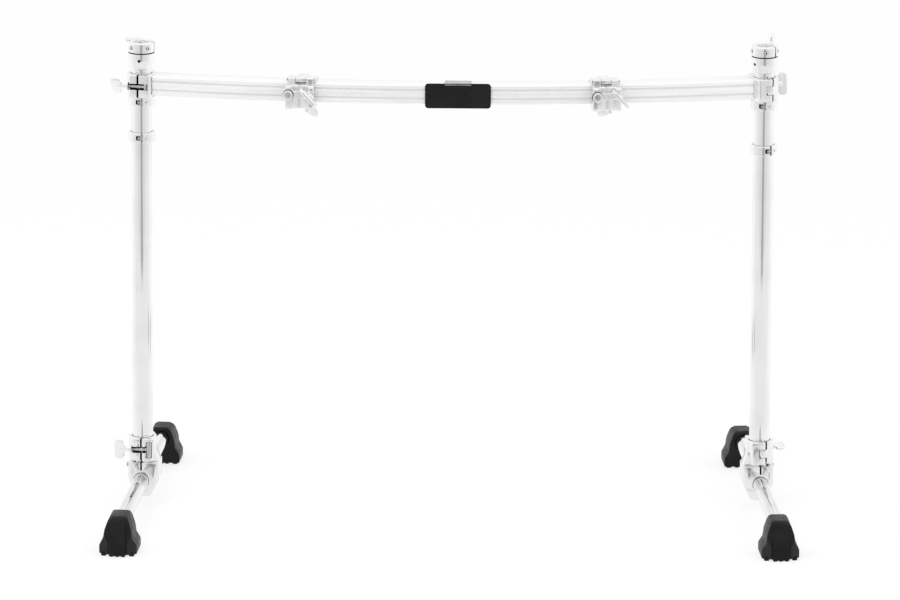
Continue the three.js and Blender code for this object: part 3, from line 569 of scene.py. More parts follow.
clampFacts = {"height": 42, "barrel": 24.5, "gate": 26, "front": 31, "back": 30.5, "split": 2, "edge": 24.55,
              "slot": 11.5, "boltX": 15, "boltY": -26, "hingeX": -2.5, "hingeY": 25.5, "knuckle": 5,
              "knuckleHeight": 15, "lugFace": -16.5, "trunnion": 4, "rod": 3.6, "boltTip": -38.65, "nutStand": 3,
              "pin": 2.4, "collar": 5.8, "collarHalf": 14.5, "fixedBack": -9, "gateFront": -1, "gateBack": -11,
              "slotLip": 4.6, "soft": 1.5, "fit": 0.35, "play": 0.6}


def arc(radius, first, last, steps=28):  # points on a circle from one angle to another, in degrees
    return [(radius * math.cos(math.radians(first + (last - first) * k / steps)),
             radius * math.sin(math.radians(first + (last - first) * k / steps))) for k in range(steps + 1)]


# the faces that pass get the black finish as painted shade
def insideClamp(at, way):  # the bore, the two splits, the hinge's pocket and the bolt's slot
    c, up = clampFacts, abs(at.z - clampFacts["height"] / 2)
    if up > c["height"] / 2 + 0.5:
        return False
    bore = at.xy.length < upright["bore"] + 0.5 and facesIn(at, way)
    front = at.y < -18 and c["gateFront"] - 0.4 < at.x < c["split"] + 0.4 and abs(way.x) > 0.5
    back = at.y > 18.5 and c["gateBack"] - 1 < at.x < c["fixedBack"] + 1 and abs(way.x) > 0.5
    pocket = at.y > 18.5 and at.x < 5 and abs(up - c["knuckleHeight"] / 2 - c["play"]) < 0.2 and abs(way.z) > 0.7
    inSlot = at.y < -20.5 and up < c["slot"] / 2 + 0.1 and at.x < c["boltX"] + c["slotLip"] + 0.1
    slot = inSlot and (way.y > -0.3 or at.y > -23)
    return bore or front or back or pocket or slot


def fixedHalf():
    c, bore = clampFacts, upright["bore"]
    top, middle, edge = c["height"], c["height"] / 2, c["edge"] - 0.25
    outer = filleted([(c["split"], -c["front"]), (20, -c["front"]), (edge, -26.5), (edge, 9.5), (16.5, c["back"]),
                      (-5, c["back"]), (c["fixedBack"], 28), (c["fixedBack"], 20)], [2.6, 4, 3, 3, 4, 3, 2.6, 0])
    first, last = math.degrees(math.asin(c["fixedBack"] / bore)), math.degrees(math.acos(c["split"] / bore))
    body = roundEdges(plank(outer[:-1] + arc(bore, 90 - first, -last), 0, top), c["soft"], 50, 3)
    low, high, window = middle - c["slot"] / 2, middle + c["slot"] / 2, c["knuckleHeight"] / 2 + c["play"]
    slotEnd = c["boltX"] + c["slotLip"]
    slot = filleted([(-1, low), (slotEnd, low), (slotEnd, high), (-1, high)], [0, 1.2, 1.2, 0])
    return cut(
        body, plank(slot, -c["front"] - over, c["boltY"] + c["rod"] + c["play"], "XZ"),
        block(-12, c["hingeX"] + c["knuckle"] + c["play"], c["hingeY"] - c["knuckle"] - c["play"], c["back"] + over,
              middle - window, middle + window),
        drum(c["pin"] + c["fit"], -over, top + over, at=(c["hingeX"], c["hingeY"]), sides=32),
        drum(c["trunnion"] + c["fit"], -over, top + over, at=(c["boltX"], c["boltY"]), sides=32),
    )


def makeRailClampBody(facts):
    c, rail = clampFacts, {"halfDepth": 20, "spigotEnd": 48.9, "spigotHalf": 14, "wall": 3.5}
    low, high = (corner.z / mm - facts["railZ"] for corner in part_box("rail"))
    deep, half = rail["halfDepth"], rail["spigotHalf"]
    flange = plank(filleted([(-deep, low), (deep, low), (deep, high), (-deep, high)], 2), 12, c["edge"], "YZ")
    flange = cut(flange, drum(upright["bore"] + 0.2, -over, c["height"] + over, sides=96))
    spigot = block(c["edge"] - 1, rail["spigotEnd"], -half, half, low + rail["wall"], high - rail["wall"])
    # bore, splits, pocket and slot painted black as shade
    return gather(lined(fixedHalf(), cast, paintedShade, insideClamp), roundEdges(flange, 0.4, 50, 1),
                  roundEdges(spigot, 0.6))


def makeGate():
    c, bore, r = clampFacts, upright["bore"], clampFacts["gate"]
    top, middle = c["height"], c["height"] / 2
    ends = ((c["lugFace"], r), (c["gateBack"], r), (c["gateBack"], bore), (c["gateFront"], bore))
    meet, upper, boreFirst, boreLast = (math.degrees(math.acos(x / radius)) for x, radius in ends)
    inner = arc(bore, boreFirst, 360 - boreLast)
    lug = filleted([inner[-1], (c["gateFront"], -c["front"]), (c["lugFace"], -c["front"]),
                    (c["lugFace"], -r * math.sin(math.radians(meet)))], [0, 2.4, 4, 0])
    shell = roundEdges(plank(lug + arc(r, 360 - meet, upper)[1:] + inner[:-1], 0, top), c["soft"], 50, 3)
    slot = block(-40, 2, -c["front"] - over, c["boltY"] + c["rod"] + c["play"],
                 middle - c["slot"] / 2, middle + c["slot"] / 2)
    x, y, k, half = c["hingeX"], c["hingeY"], c["knuckle"], c["knuckleHeight"] / 2
    knuckle = plank([(-14, 19), (-10, y - k), (x, y - k)] + [(x + a, y + b) for a, b in arc(k, -80, 90, 16)]
                    + [(-9, y + k - 0.6), (-14, 23)], middle - half, middle + half)
    knuckle = cut(knuckle, drum(c["pin"] + c["fit"], -over, top + over, at=(x, y), sides=32))
    # bore, splits, pocket and slot painted black as shade
    return gather(lined(cut(shell, slot), cast, paintedShade, insideClamp), roundEdges(knuckle, 0.5, 50))


def makeHingePin():
    c, r = clampFacts, clampFacts["pin"]
    seat, head, stand = c["height"] + c["fit"], r * 1.5, 1.5
    piece = turned([(0, 0), (r - 0.4, 0), (r, 0.4), (r, seat), (head, seat), (head, seat + stand - 0.7),
                    (head - 0.7, seat + stand), (0, seat + stand)], sides=32)
    return moved(piece, c["hingeX"], c["hingeY"])


def makeSwingBolt(collared):
    c, middle = clampFacts, clampFacts["height"] / 2
    at = (c["boltX"], c["boltY"])
    trunnion = roundEdges(drum(c["trunnion"], 0, c["height"], at=at, sides=40), 0.5, 50)
    shank = moved(rod(c["rod"], c["boltTip"], c["boltX"], c["lugFace"] + 6), y=c["boltY"], z=middle)
    bolt = gather(trunnion, shank)
    if collared:
        collar = drum(c["collar"], middle - c["collarHalf"], middle + c["collarHalf"], at=at, sides=48)
        bolt = gather(bolt, roundEdges(collar, 0.6, 50))
    return bolt


def makeWingNut():
    washer = turned([(4.1, 0.2), (7.2, 0.2), (7.4, 0.5), (7.4, 1.5), (7.2, 1.8), (4.1, 1.8)], "X", 48)
    return gather(makeWing(3.95), washer)


def makeClampPieces():
    c = clampFacts
    kinds = {"gate": (makeGate(), cast, "chrome"), "hinge_pin": (makeHingePin(), steel, "steel"),
             "swing_bolt": (makeSwingBolt(False), steel, "steel")}
    nut, baseBolt = makeWingNut(), makeSwingBolt(True)
    for side, facts in sides.items():
        for clamp, name, low in (("rail", "rail_clamp", facts["railZ"]), ("base", "base", facts["baseZ"])):
            where = {"x": facts["x"], "y": facts["y"], "z": low, "turn": facts[clamp + "Turn"]}
            for kind, (model, finish, slot) in kinds.items():
                model = baseBolt if (clamp, kind) == ("base", "swing_bolt") else model
                dress(moved(another(model), **where), f"{side}_{name}_{kind}", finish)
            piece = moved(another(nut), roll=facts[clamp + "Nut"])
            piece = moved(piece, c["lugFace"] - c["nutStand"], c["boltY"], c["height"] / 2)
            dress(moved(piece, **where), f"{side}_{name}_wing_nut", chrome)
        body = moved(makeRailClampBody(facts), facts["x"], facts["y"], facts["railZ"], facts["railTurn"])
        dress(body, side + "_rail_clamp_body", cast)
    discard(nut, baseBolt, *(kind[0] for kind in kinds.values()))


# Stop locks

def makeLocks():
    lock = {"radius": 25, "height": 18, "gap": 3, "pocket": 9, "wall": 1.2, "pocketHeight": 8, "pocketDepth": 5,
            "bolt": 1.6, "boltFit": 0.35, "boltEnd": 10.5, "head": 4.4, "headLength": 4.6, "boltY": -22.4}
    r, bore, top, middle = lock["radius"], upright["bore"], lock["height"], lock["height"] / 2
    gap, halfPocket, end = lock["gap"] / 2, lock["pocketHeight"] / 2, lock["boltEnd"]
    band = turned([(bore, 0.5), (bore + 0.5, 0), (r - 1.2, 0), (r, 1.2), (r, top - 1.2), (r - 1.2, top),
                   (bore + 0.5, top), (bore, top - 0.5)], sides=96)
    inner = -gap - lock["wall"]
    outer = inner - lock["pocket"] + lock["wall"]
    pocket = filleted([(outer, middle - halfPocket), (inner, middle - halfPocket), (inner, middle + halfPocket),
                       (outer, middle + halfPocket)], 1)
    band = cut(band, block(-gap, gap, -r - over, 0, -over, top + over),
               plank(pocket, -r - over, -r + lock["pocketDepth"], "XZ"),
               drum(lock["bolt"] + lock["boltFit"], -end, end, "X", (lock["boltY"], middle), 24))

    # these faces get the black finish as painted shade
    def inDark(at, way):  # the bore, the gap and the bolt's pocket
        inBore = at.xy.length < bore + 0.3 and facesIn(at, way)
        inGap = at.y < 0 and abs(at.x) < gap + 0.1
        inPocket = (outer - 0.8 < at.x < inner + 0.1 and abs(at.z - middle) < halfPocket
                    and 1.2 - r < at.y < 0 and at.xy.length < r - 0.5)
        return inBore or inGap or inPocket

    band = lined(roundEdges(band, 0.3, 50, 1), chrome, paintedShade, inDark)
    seat, half = inner - upright["gap"], lock["head"] / 2
    head = roundEdges(block(seat - lock["headLength"], seat, -half, half, -half, half), 0.5, 50)
    bolt = gather(head, rod(lock["bolt"], seat - 1, end - lock["headLength"]))
    bolt = moved(bolt, y=lock["boltY"], z=middle)
    for side, facts in sides.items():
        for place, turn in zip(("upper", "lower"), facts["lockTurns"]):
            node = f"{side}_{place}_lock"
            where = {"x": facts["x"], "y": facts["y"], "z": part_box(node)[0].z / mm, "turn": turn}
            dress(moved(another(band), **where), node, chrome, 40)
            dress(moved(another(bolt), **where), node + "_bolt", steel)
    discard(band, bolt)


# Bases

hub = {"outer": 24, "inner": 33, "top": 84, "waist": 50, "bottom": 20, "footHalf": 12, "half": 28, "slit": 2.6,
       "leg": 14.3, "legZ": 50, "boltY": -13, "boltZ": 76.5, "bolt": 2.6, "boltHead": 4.2, "headStand": 4,
       "neck": 20, "window": 15, "fit": 0.35}
leg = {"half": 338, "wall": 1.8, "rim": 0.4, "splay": 0.085, "offset": -16}


def makeHub(top, slits):
    h = hub
    waist, foot, fit = h["waist"], h["footHalf"], h["fit"]
    outline = filleted([(-h["outer"], h["top"]), (-h["outer"], waist + 4), (-foot, h["bottom"]),
                        (foot + 5, h["bottom"]), (h["inner"], waist + 2), (h["inner"], h["top"])], [0, 9, 7, 7, 9, 0])
    plan = filleted([(-h["outer"], -h["half"]), (h["inner"], -h["half"]), (h["inner"], h["half"]),
                     (-h["outer"], h["half"])], 6)
    body = carve("INTERSECT", plank(outline, -h["half"], h["half"], "XZ"), plank(plan, 0, top + over))
    legBore = drum(h["leg"] + fit, -h["half"] - over, h["half"] + over, "Y", (0, h["legZ"]), 96)
    boltBore = drum(h["bolt"] + fit, -h["outer"] - over, h["inner"] / 2, "X", (h["boltY"], h["boltZ"]), 32)
    return roundEdges(cut(body, legBore, *(another(slit) for slit in slits), boltBore), 1.2, 50, 3)


def makeLip(end):  # a raised lip round one mouth of the leg's bore
    face, back, r = end * (hub["half"] + 0.6), end * (hub["half"] - 1.5), hub["leg"]
    lip = turned([(r + 0.6, back), (r + 0.6, face), (r + 3.4, face), (r + 4.4, face - end), (r + 4.4, back)], "Y", 64)
    return moved(lip, z=hub["legZ"])


def makeBase(facts):
    c, h = clampFacts, hub
    low, top = facts["baseZ"], facts["baseZ"] + c["height"]
    slits = [block(-h["slit"] / 2, h["slit"] / 2,
                   *sorted((end * h["half"] / 2, end * (h["half"] + over))), h["legZ"], top)
             for end in ((-1,) if facts["sign"] < 0 else (-1, 1))]
    body = makeHub(top, slits)
    neck = plank([(c["split"], h["top"] - 5), (h["inner"] - 0.3, h["top"] - 5), (h["inner"] - 1, low - 4),
                  (c["edge"], low + 14), (c["edge"], low + 22), (c["split"], low + 22)], -h["neck"], h["neck"], "XZ")
    neck = cut(neck, drum(upright["bore"] + 0.2, facts["postFoot"] - h["fit"], top + over, sides=96))
    throat = cut(block(-11, 20, -h["neck"] + 0.3, h["neck"] - 0.3, h["top"] - 5, low - 0.6), *slits)
    windowLow, windowHigh = c["height"] / 2 - h["window"], c["height"] / 2 + h["window"]
    half = cut(fixedHalf(), block(8, 20.6, -c["front"] - over, -25, windowLow, windowHigh),
               drum(c["collar"] + 0.4, windowLow, windowHigh, at=(c["boltX"], c["boltY"]), sides=48))
    # bore, splits, pocket and slot painted black as shade
    half = moved(lined(half, cast, paintedShade, insideClamp), z=low)

    # the slits' faces and the leg's bore get the black finish as painted shade
    def inSlit(at, way):
        return abs(at.x) < h["slit"] / 2 + 0.1 and abs(at.y) > h["half"] / 2 - 1 and abs(way.x) > 0.5

    def inSlitOrBore(at, way):
        inBore = math.hypot(at.x, at.z - h["legZ"]) < h["leg"] + 0.6 and abs(way.y) < 0.5
        return inBore or inSlit(at, way)

    body, throat = lined(body, cast, paintedShade, inSlitOrBore), lined(throat, cast, paintedShade, inSlit)
    return gather(half, body, roundEdges(neck, 1.2, 50), roundEdges(throat, 0.8, 50), makeLip(-1), makeLip(1))


def makeLegBolt():
    h, r = hub, hub["boltHead"]
    seat = -h["outer"] - h["fit"]
    face = seat - h["headStand"]
    head = turned([(0, seat), (r, seat), (r, face + 0.6), (r - 0.6, face), (0, face)], "X", 40)
    head = cut(head, drum(r / 2, face - 2, seat - 1.6, "X", sides=6))
    shank = drum(h["bolt"], seat - 1, h["inner"] / 2 - h["fit"], "X", sides=32)
    return moved(gather(head, shank), y=h["boltY"], z=h["boltZ"])


def makeLeg():
    r, rim, long = hub["leg"], leg["rim"], leg["half"]
    inner = r - leg["wall"]
    piece = turned([(inner, -long), (r - rim, -long), (r, -long + rim), (r, long - rim), (r - rim, long),
                    (inner, long)], "Y", 96)
    return moved(piece, y=leg["offset"], z=hub["legZ"])


# Rubber feet: this one points to -Y

def makeFoot():
    foot = {"inner": 286, "outer": 360, "topOuter": 342, "height": 71, "half": 34.5, "band": 15.5, "stand": 5,
            "front": ((0.02, 0.93), (0.07, 1), (0.27, 1), (0.44, 0.78), (0.66, 0.72), (0.88, 0.57), (0.985, 0.43)),
            "corners": (0, 4, 9, 9, 30, 30, 4), "tread": 3, "slant": 13, "knee": 17, "bend": 14, "bendShare": 0.36,
            "taper": 2.5, "socketEnd": 3.65, "socketDeep": 8,
            "treads": (((-10.5, 0, 10.5), 3.6, 1.5, 6), ((-25.5, 25.5), 4.5, 8, 7))}
    inner, outer, topOuter = -foot["inner"], -foot["outer"], -foot["topOuter"]
    height, band, knee, bend = foot["height"], foot["band"], foot["knee"], foot["bend"]
    right = [(across * foot["half"], up * height) for up, across in foot["front"]]
    corners = [*foot["corners"], *reversed(foot["corners"])]
    outline = filleted(right + [(-x, z) for x, z in reversed(right)], corners)
    socketEnds = topOuter + foot["socketEnd"], inner + foot["socketDeep"]
    socket = drum(hub["leg"] + hub["fit"], *socketEnds, "Y", (0, hub["legZ"]), 96)
    top, face, bendZ = height - 1.2, outer + foot["stand"], height * foot["bendShare"]
    side = filleted([(inner, foot["tread"]), (inner, top - 2), (inner - 2, top), (topOuter + 1, top), (face, bendZ),
                     (face, foot["tread"])], [0, 0, 0, knee, bend, 3], 8)
    plan = [(-40, inner + 2), (-40, face + foot["slant"]), (1 - band, face - 2), (band - 1, face - 2),
            (40, face + foot["slant"]), (40, inner + 2)]
    body = carve("INTERSECT", plank(outline, outer - 3, inner, "XZ"), plank(side, -40, 40, "YZ"))
    body = carve("INTERSECT", body, plank(plan, -over, height + over))
    body = roundEdges(cut(body, another(socket)), 1.6, 40, 3)
    # the slanted faces above the tread that look forward and aside get the lighter rubber as painted light
    body = lined(body, rubber, paintedLitRubber, lambda at, way: at.z > 10 and way.y < -0.3 and abs(way.x) > 0.25)
    front = filleted([(inner - 4, 1.5), (inner - 4, height), (topOuter, height), (outer, bendZ), (outer, 1.5)],
                     [0, 1, knee, bend, 3], 8)
    taper = [(-band, 0), (band, 0), (band - foot["taper"], height + 1), (foot["taper"] - band, height + 1)]
    strip = carve("INTERSECT", plank(front, -band - 2, band + 2, "YZ"), plank(taper, outer - over, inner, "XZ"))
    lumps = []
    for places, halfWide, inset, up in foot["treads"]:
        low, high = outer + inset, inner - 4
        side = filleted([(low, 0), (high, 0), (high, up), (low, up)], 1.8)
        lumps += [roundEdges(plank(side, x - halfWide, x + halfWide, "YZ"), 1.5, 50, 3) for x in places]
    return gather(body, roundEdges(cut(strip, socket), 2, 40, 3), *lumps)


def makeBases():
    bolt, foot, tube = makeLegBolt(), makeFoot(), makeLeg()
    for side, facts in sides.items():
        where = {"x": facts["x"], "y": facts["y"], "turn": facts["baseTurn"]}
        dress(moved(makeBase(facts), **where), side + "_base_casting", cast)
        dress(moved(another(bolt), **where), side + "_leg_bolt", steel)
        where["turn"] = facts["sign"] * leg["splay"]
        dress(moved(another(tube), **where), side + "_leg_tube", chrome)
        for end, turn in (("front", 0), ("back", math.pi)):
            piece = moved(moved(another(foot), y=leg["offset"], turn=turn), **where)
            dress(piece, f"{side}_{end}_foot", rubber, 30)
    discard(bolt, foot, tube)


# Rail on its arc

def makeRail():
    rail = {"sag": 64, "span": 1140, "depth": 40, "height": 36, "corner": 2.6, "grooveWidth": 5.5, "grooveDepth": 1.5,
            "grooves": (0.22, -0.22), "inset": 24.9, "wall": 2.6, "sideWall": 4, "steps": 120}
    low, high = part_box("rail")
    middle, half = (low.z + high.z) / 2 / mm, rail["span"] / 2
    radius = (half ** 2 + rail["sag"] ** 2) / (2 * rail["sag"])
    centre = radius - rail["sag"] + postAxisY / mm
    reach = math.asin(half / radius) - rail["inset"] / radius
    front, back, up = -rail["depth"] / 2, rail["depth"] / 2, rail["height"] / 2
    points, radii = [(front, -up), (back, -up), (back, up), (front, up)], [rail["corner"]] * 4
    for share in rail["grooves"]:
        z, w, d = share * rail["height"], rail["grooveWidth"] / 2, rail["grooveDepth"]
        points += [(front, z + w), (front + d, z + w - d), (front + d, z - w + d), (front, z - w)]
        radii += [0.7, 1.2, 1.2, 0.7]
    deep, tall = back - rail["sideWall"], up - rail["wall"]
    outer = filleted(points, radii, 4)
    inner = filleted([(-deep, -tall), (deep, -tall), (deep, tall), (-deep, tall)], 1.5, 3)
    axle = (0, centre * mm, 0)
    sweep = []
    for loop, extra in ((outer, 0), (inner, 0.002)):  # the section is turned to one end, spun to the other and closed
        piece = outlineLoop([(y - radius, z + middle) for y, z in loop], "YZ", "NOTHING")
        piece.data.transform(Matrix.Translation(axle) @ Matrix.Rotation(-reach - extra, 4, "Z"))
        pickOnly(piece)
        bpy.ops.object.mode_set(mode="EDIT")
        bpy.ops.mesh.select_all(action="SELECT")
        bpy.ops.mesh.spin(steps=rail["steps"], angle=2 * (reach + extra), center=axle, axis=(0, 0, -1))
        bpy.ops.mesh.select_all(action="SELECT")
        bpy.ops.mesh.fill_holes(sides=0)
        bpy.ops.object.mode_set(mode="OBJECT")
        sweep.append(mend(piece))
    section = mend(cut(*sweep))

    def inGroove(at, way):
        sunk = radius < math.hypot(at.x, at.y - centre) < radius - front - 0.3 and way.y < -0.3
        return sunk and any(abs(at.z - middle - share * rail["height"]) < rail["grooveWidth"] / 2
                            for share in rail["grooves"])

    # the grooves' sunk faces get the darker copy as painted shade
    dress(lined(section, railFinish, paintedGrooveShade, inGroove), "rail", railFinish, 25)
    return centre, radius, middle


def makeBadge(centre, radius, middle):
    badge = {"width": 120, "height": 46, "thick": 2.2, "corner": 6, "place": 10, "drop": 1.25, "rim": 1.6,
             "rimStand": 0.35, "tab": 48, "reach": 30, "railFront": -20, "fit": 0.35}
    back, z = badge["railFront"] - badge["fit"], middle - badge["drop"]
    face, corner = back - badge["thick"], badge["corner"]

    def plateOutline(inset, soft):
        w, h = badge["width"] / 2 - inset, badge["height"] / 2 - inset
        return filleted([(-w, z - h), (w, z - h), (w, z + h), (-w, z + h)], soft, 8)

    outline, field = plateOutline(0, corner), plateOutline(badge["rim"], corner - 1)
    plate = roundEdges(plank(outline, face + badge["rimStand"], back, "XZ"), 0.3, 50)
    rim = cut(plank(outline, face, face + 0.8, "XZ"), plank(field, face - 1, face + 2, "XZ"))
    rim = roundEdges(rim, 0.15, 50, 1)
    foot, low = z + badge["height"] / 2 - 3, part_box("rail")[1].z / mm + badge["fit"]
    top, end, half = low + badge["thick"], badge["reach"] + badge["railFront"], badge["tab"] / 2
    side = filleted([(face, foot), (back, foot), (back, low), (end, low), (end, top), (face, top)],
                    [0, 0, 0.3, 0, 0, 2])
    hanger = roundEdges(plank(side, -half, half, "YZ"), 0.3, 50)
    piece = gather(finished(plate, enamel), rim, finished(hanger, steel))
    y = centre - math.sqrt(radius ** 2 - badge["place"] ** 2)
    dress(moved(piece, badge["place"], y), "badge_plate", enamel)


# Pipe clamps, made on a straight rail: z = 0 is the rail's middle height

saddle = {"width": 52, "face": -20.35, "front": -47.35, "top": 17.6, "bottom": -27, "channel": 17, "flare": 2,
          "channelY": -51.35, "hingeY": -22.55, "hingeZ": 24.6, "knuckle": 5.8, "knuckleHalf": 9,
          "pin": 2.4, "strapX": -19, "strapZ": 3, "strapPin": 4.6, "strapGap": 0.6, "strapThick": 8, "rodHole": 13.5,
          "jawX": 21, "jaw": 3.4, "screwX": 9.5, "screwY": -8.35, "screw": 3.4, "fit": 0.35}


def makeSaddle():
    s, half = saddle, saddle["width"] / 2
    side = filleted([(s["front"], s["bottom"]), (s["face"], s["bottom"]), (s["face"], s["top"]),
                     (s["front"], s["top"])], [6, 0, 0, 6], 4)
    body = roundEdges(plank(side, -half, half, "YZ"), 2, 60, 3)
    back, low, high = -0.35, -25.35, -18.35
    shelf = plank(filleted([(s["face"] - 3, low), (back, low), (back, high), (s["face"] - 3, high)], [0, 3, 1, 0]),
                  -half + 5, half - 5, "YZ")
    hingeAt = (s["hingeY"], s["hingeZ"])
    hinge = drum(s["knuckle"], -half + 3, half - 3, "X", hingeAt, 48)
    web = block(-half + 3, half - 3, s["hingeY"] - s["knuckle"], s["face"], s["top"] - 3, s["hingeZ"])
    body = weld(body, roundEdges(shelf, 0.8, 50), roundEdges(weld(hinge, web), 0.8, 50))
    gap, floor = s["knuckleHalf"] + 0.6, s["top"] - 2.5
    pocket = filleted([(-gap, floor), (gap, floor), (gap, 40), (-gap, 40)], [2.5, 2.5, 0, 0])
    r, flared = s["channel"], s["channel"] + s["flare"]
    channel = turned([(0, -32), (flared, -32), (flared, s["bottom"] - 0.1), (r, s["bottom"] + 2), (r, s["top"] - 2),
                      (flared, s["top"] + 0.1), (flared, 23), (0, 23)], sides=96)
    holeFront, holeBack = s["front"] - over, s["front"] + s["rodHole"]
    body = cut(
        body, plank(pocket, s["hingeY"] - s["knuckle"] - 5, 3, "XZ"), moved(channel, y=s["channelY"]),
        drum(s["pin"] + s["fit"], -40, 40, "X", hingeAt, 32),
        drum(s["screw"] + s["fit"], -40, 0, "Z", (s["screwX"], s["screwY"]), 32),
        drum(s["strapPin"] + s["fit"], holeFront, holeBack, "Y", (s["strapX"], s["strapZ"]), 40),
        drum(s["jaw"] + s["fit"], holeFront, holeBack, "Y", (s["jawX"], s["strapZ"]), 32),
    )
    return lined(roundEdges(body, 0.3, 60, 1), cast, honed, lambda at, way: (
        math.hypot(at.x, at.y - s["channelY"]) < flared + 0.2 and facesIn(at, way, 0, s["channelY"])))


def makeHook():
    hook = {"under": 18.35, "back": 20.35, "plate": 3.6, "drop": 30, "rib": 8.5, "ribDrop": 20, "ribStand": 4}
    s = saddle
    half, under, plate, front = s["width"] / 2, hook["under"], hook["plate"], s["face"] + 4
    inner, outer, tip = hook["back"], hook["back"] + plate, hook["under"] - hook["drop"]
    side = filleted([(front, under), (inner, under), (inner, tip), (outer, tip), (outer, under + plate),
                     (front, under + plate)], [1.3, 1.3, 1.3, 1.6, 4, 1.6])
    outline = roundEdges(plank(side, -half, half, "YZ"), 0.8, 50)
    ribTip, ribBack = under - hook["ribDrop"], outer + hook["ribStand"]
    ribSide = filleted([(front, under + 1.5), (inner + 2, under + 1.5), (inner + 2, ribTip), (ribBack, ribTip),
                        (ribBack, under + 3), (outer, under + 7), (front, under + 7)], [0, 0, 0, 2, 4, 4, 2])
    rib = roundEdges(plank(ribSide, -hook["rib"], hook["rib"], "YZ"), 1, 50)
    reach, hingeAt = s["knuckleHalf"], (s["hingeY"], s["hingeZ"])
    knuckle = drum(s["knuckle"], -reach, reach, "X", hingeAt, 48)
    neck = block(-reach, reach, s["hingeY"], s["face"] + 8, under + 1.8, s["hingeZ"] + 2.9)
    body = weld(outline, rib, roundEdges(weld(knuckle, neck), 0.7, 50))
    return cut(body, drum(s["pin"] + s["fit"], -18, 18, "X", hingeAt, 32))


def makeHookPin():
    s, half, r = saddle, saddle["width"] / 2, saddle["pin"]
    pin = turned([(0, -half), (r - 0.5, -half), (r, -half + 0.5), (r, half - 0.5), (r - 0.5, half), (0, half)], "X", 32)
    return moved(pin, y=s["hingeY"], z=s["hingeZ"])


def makeStrap():
    strap = {"barrel": 9, "barrelLength": 15, "half": 6.5, "end": 46.75, "slot": (35.2, 44.8), "slotTop": 4.8}
    s = saddle
    back = s["front"] - s["strapGap"]
    front, end, r, half = back - s["strapThick"], back - strap["barrelLength"], strap["barrel"], strap["half"]
    barrel = turned([(0, back), (r, back), (r, end + 1.2), (r - 1.2, end), (0, end)], "Y", 64)
    outline = filleted([(0, -half), (strap["end"], -half), (strap["end"], half), (0, half)], [0, 2.5, 2.5, 0])
    body = weld(barrel, roundEdges(plank(outline, front, back, "XZ"), 1.1, 50))
    (left, right), top = strap["slot"], strap["slotTop"]
    slot = filleted([(left, -12), (right, -12), (right, top), (left, top)], [0, 0, 4, 4])
    body = cut(body, drum(s["strapPin"] + s["fit"], back - 20, back + over, "Y", (0, 0), 40),
               plank(slot, front - over, back + over, "XZ"))
    # a thin black ring of painted shade where the barrel meets the strap's bar
    shade = turned([(r + 0.1, front - 0.1), (r + 1, front - 0.1), (r + 1, front - 0.5), (r + 0.1, front - 0.5)],
                   "Y", 64)
    return moved(gather(finished(body, cast), finished(shade, paintedShade)), s["strapX"], 0, s["strapZ"])


def makeStrapPin():
    s, r = saddle, saddle["strapPin"]
    tip, end = s["front"] - s["strapGap"] - 19, s["front"] + s["rodHole"] - 0.4
    pin = turned([(0, tip), (r - 1.6, tip), (r - 0.5, tip + 0.4), (r, tip + 1.6), (r, end), (0, end)], "Y", 48)
    groove = turned([(r - 0.6, tip + 2.6), (r + 1, tip + 2.6), (r + 1, tip + 3.2), (r - 0.6, tip + 3.2)], "Y", 48)
    return moved(cut(pin, groove), s["strapX"], 0, s["strapZ"])


def makeJawBolt():
    s, bolt = saddle, {"rod": 3.6, "reach": 22.7, "roll": -0.75}
    washer = turned([(3.4, -0.1), (7.2, -0.1), (7.4, 0.2), (7.4, -1.3), (7.2, -1.6), (3.4, -1.6)], "X", 48)
    piece = gather(makeWing(0), rod(bolt["rod"], -3, bolt["reach"]), washer)
    piece = moved(moved(piece, roll=bolt["roll"]), turn=math.pi / 2)
    return moved(piece, s["jawX"], s["front"] - s["strapThick"] - 2 * s["strapGap"], s["strapZ"])


def makeRailScrew():
    screw = {"seat": -26.05, "top": -18.7, "boss": 5, "bossLength": 12, "overlap": 3, "long": 24, "drop": 16,
             "thick": 5, "blade": ((0, 0.6), (0.25, 0.85), (0.5, 1), (0.8, 1.04), (0.96, 0.98), (1.02, 0.66), (1, 0.3),
                                   (0.88, 0.12), (0.65, 0.02), (0.4, 0), (0, 0.2))}
    r, b, top, seat = saddle["screw"], screw["boss"], screw["top"], screw["seat"]
    low, start = seat - screw["bossLength"], seat - screw["overlap"]
    shank = turned([(0, start), (r, start), (r, top - 0.5), (r - 0.5, top), (0, top)], sides=32)
    boss = turned([(0, low), (b - 1, low), (b, low + 1), (b, seat - 0.8), (b - 0.6, seat), (0, seat)], sides=40)
    outline = filleted([(along * screw["long"], start - down * screw["drop"]) for along, down in screw["blade"]], 3, 3)
    blade = roundEdges(plank(outline, -screw["thick"] / 2, screw["thick"] / 2, "XZ"), 1.6, 50, 3)
    return gather(weld(boss, blade), shank)


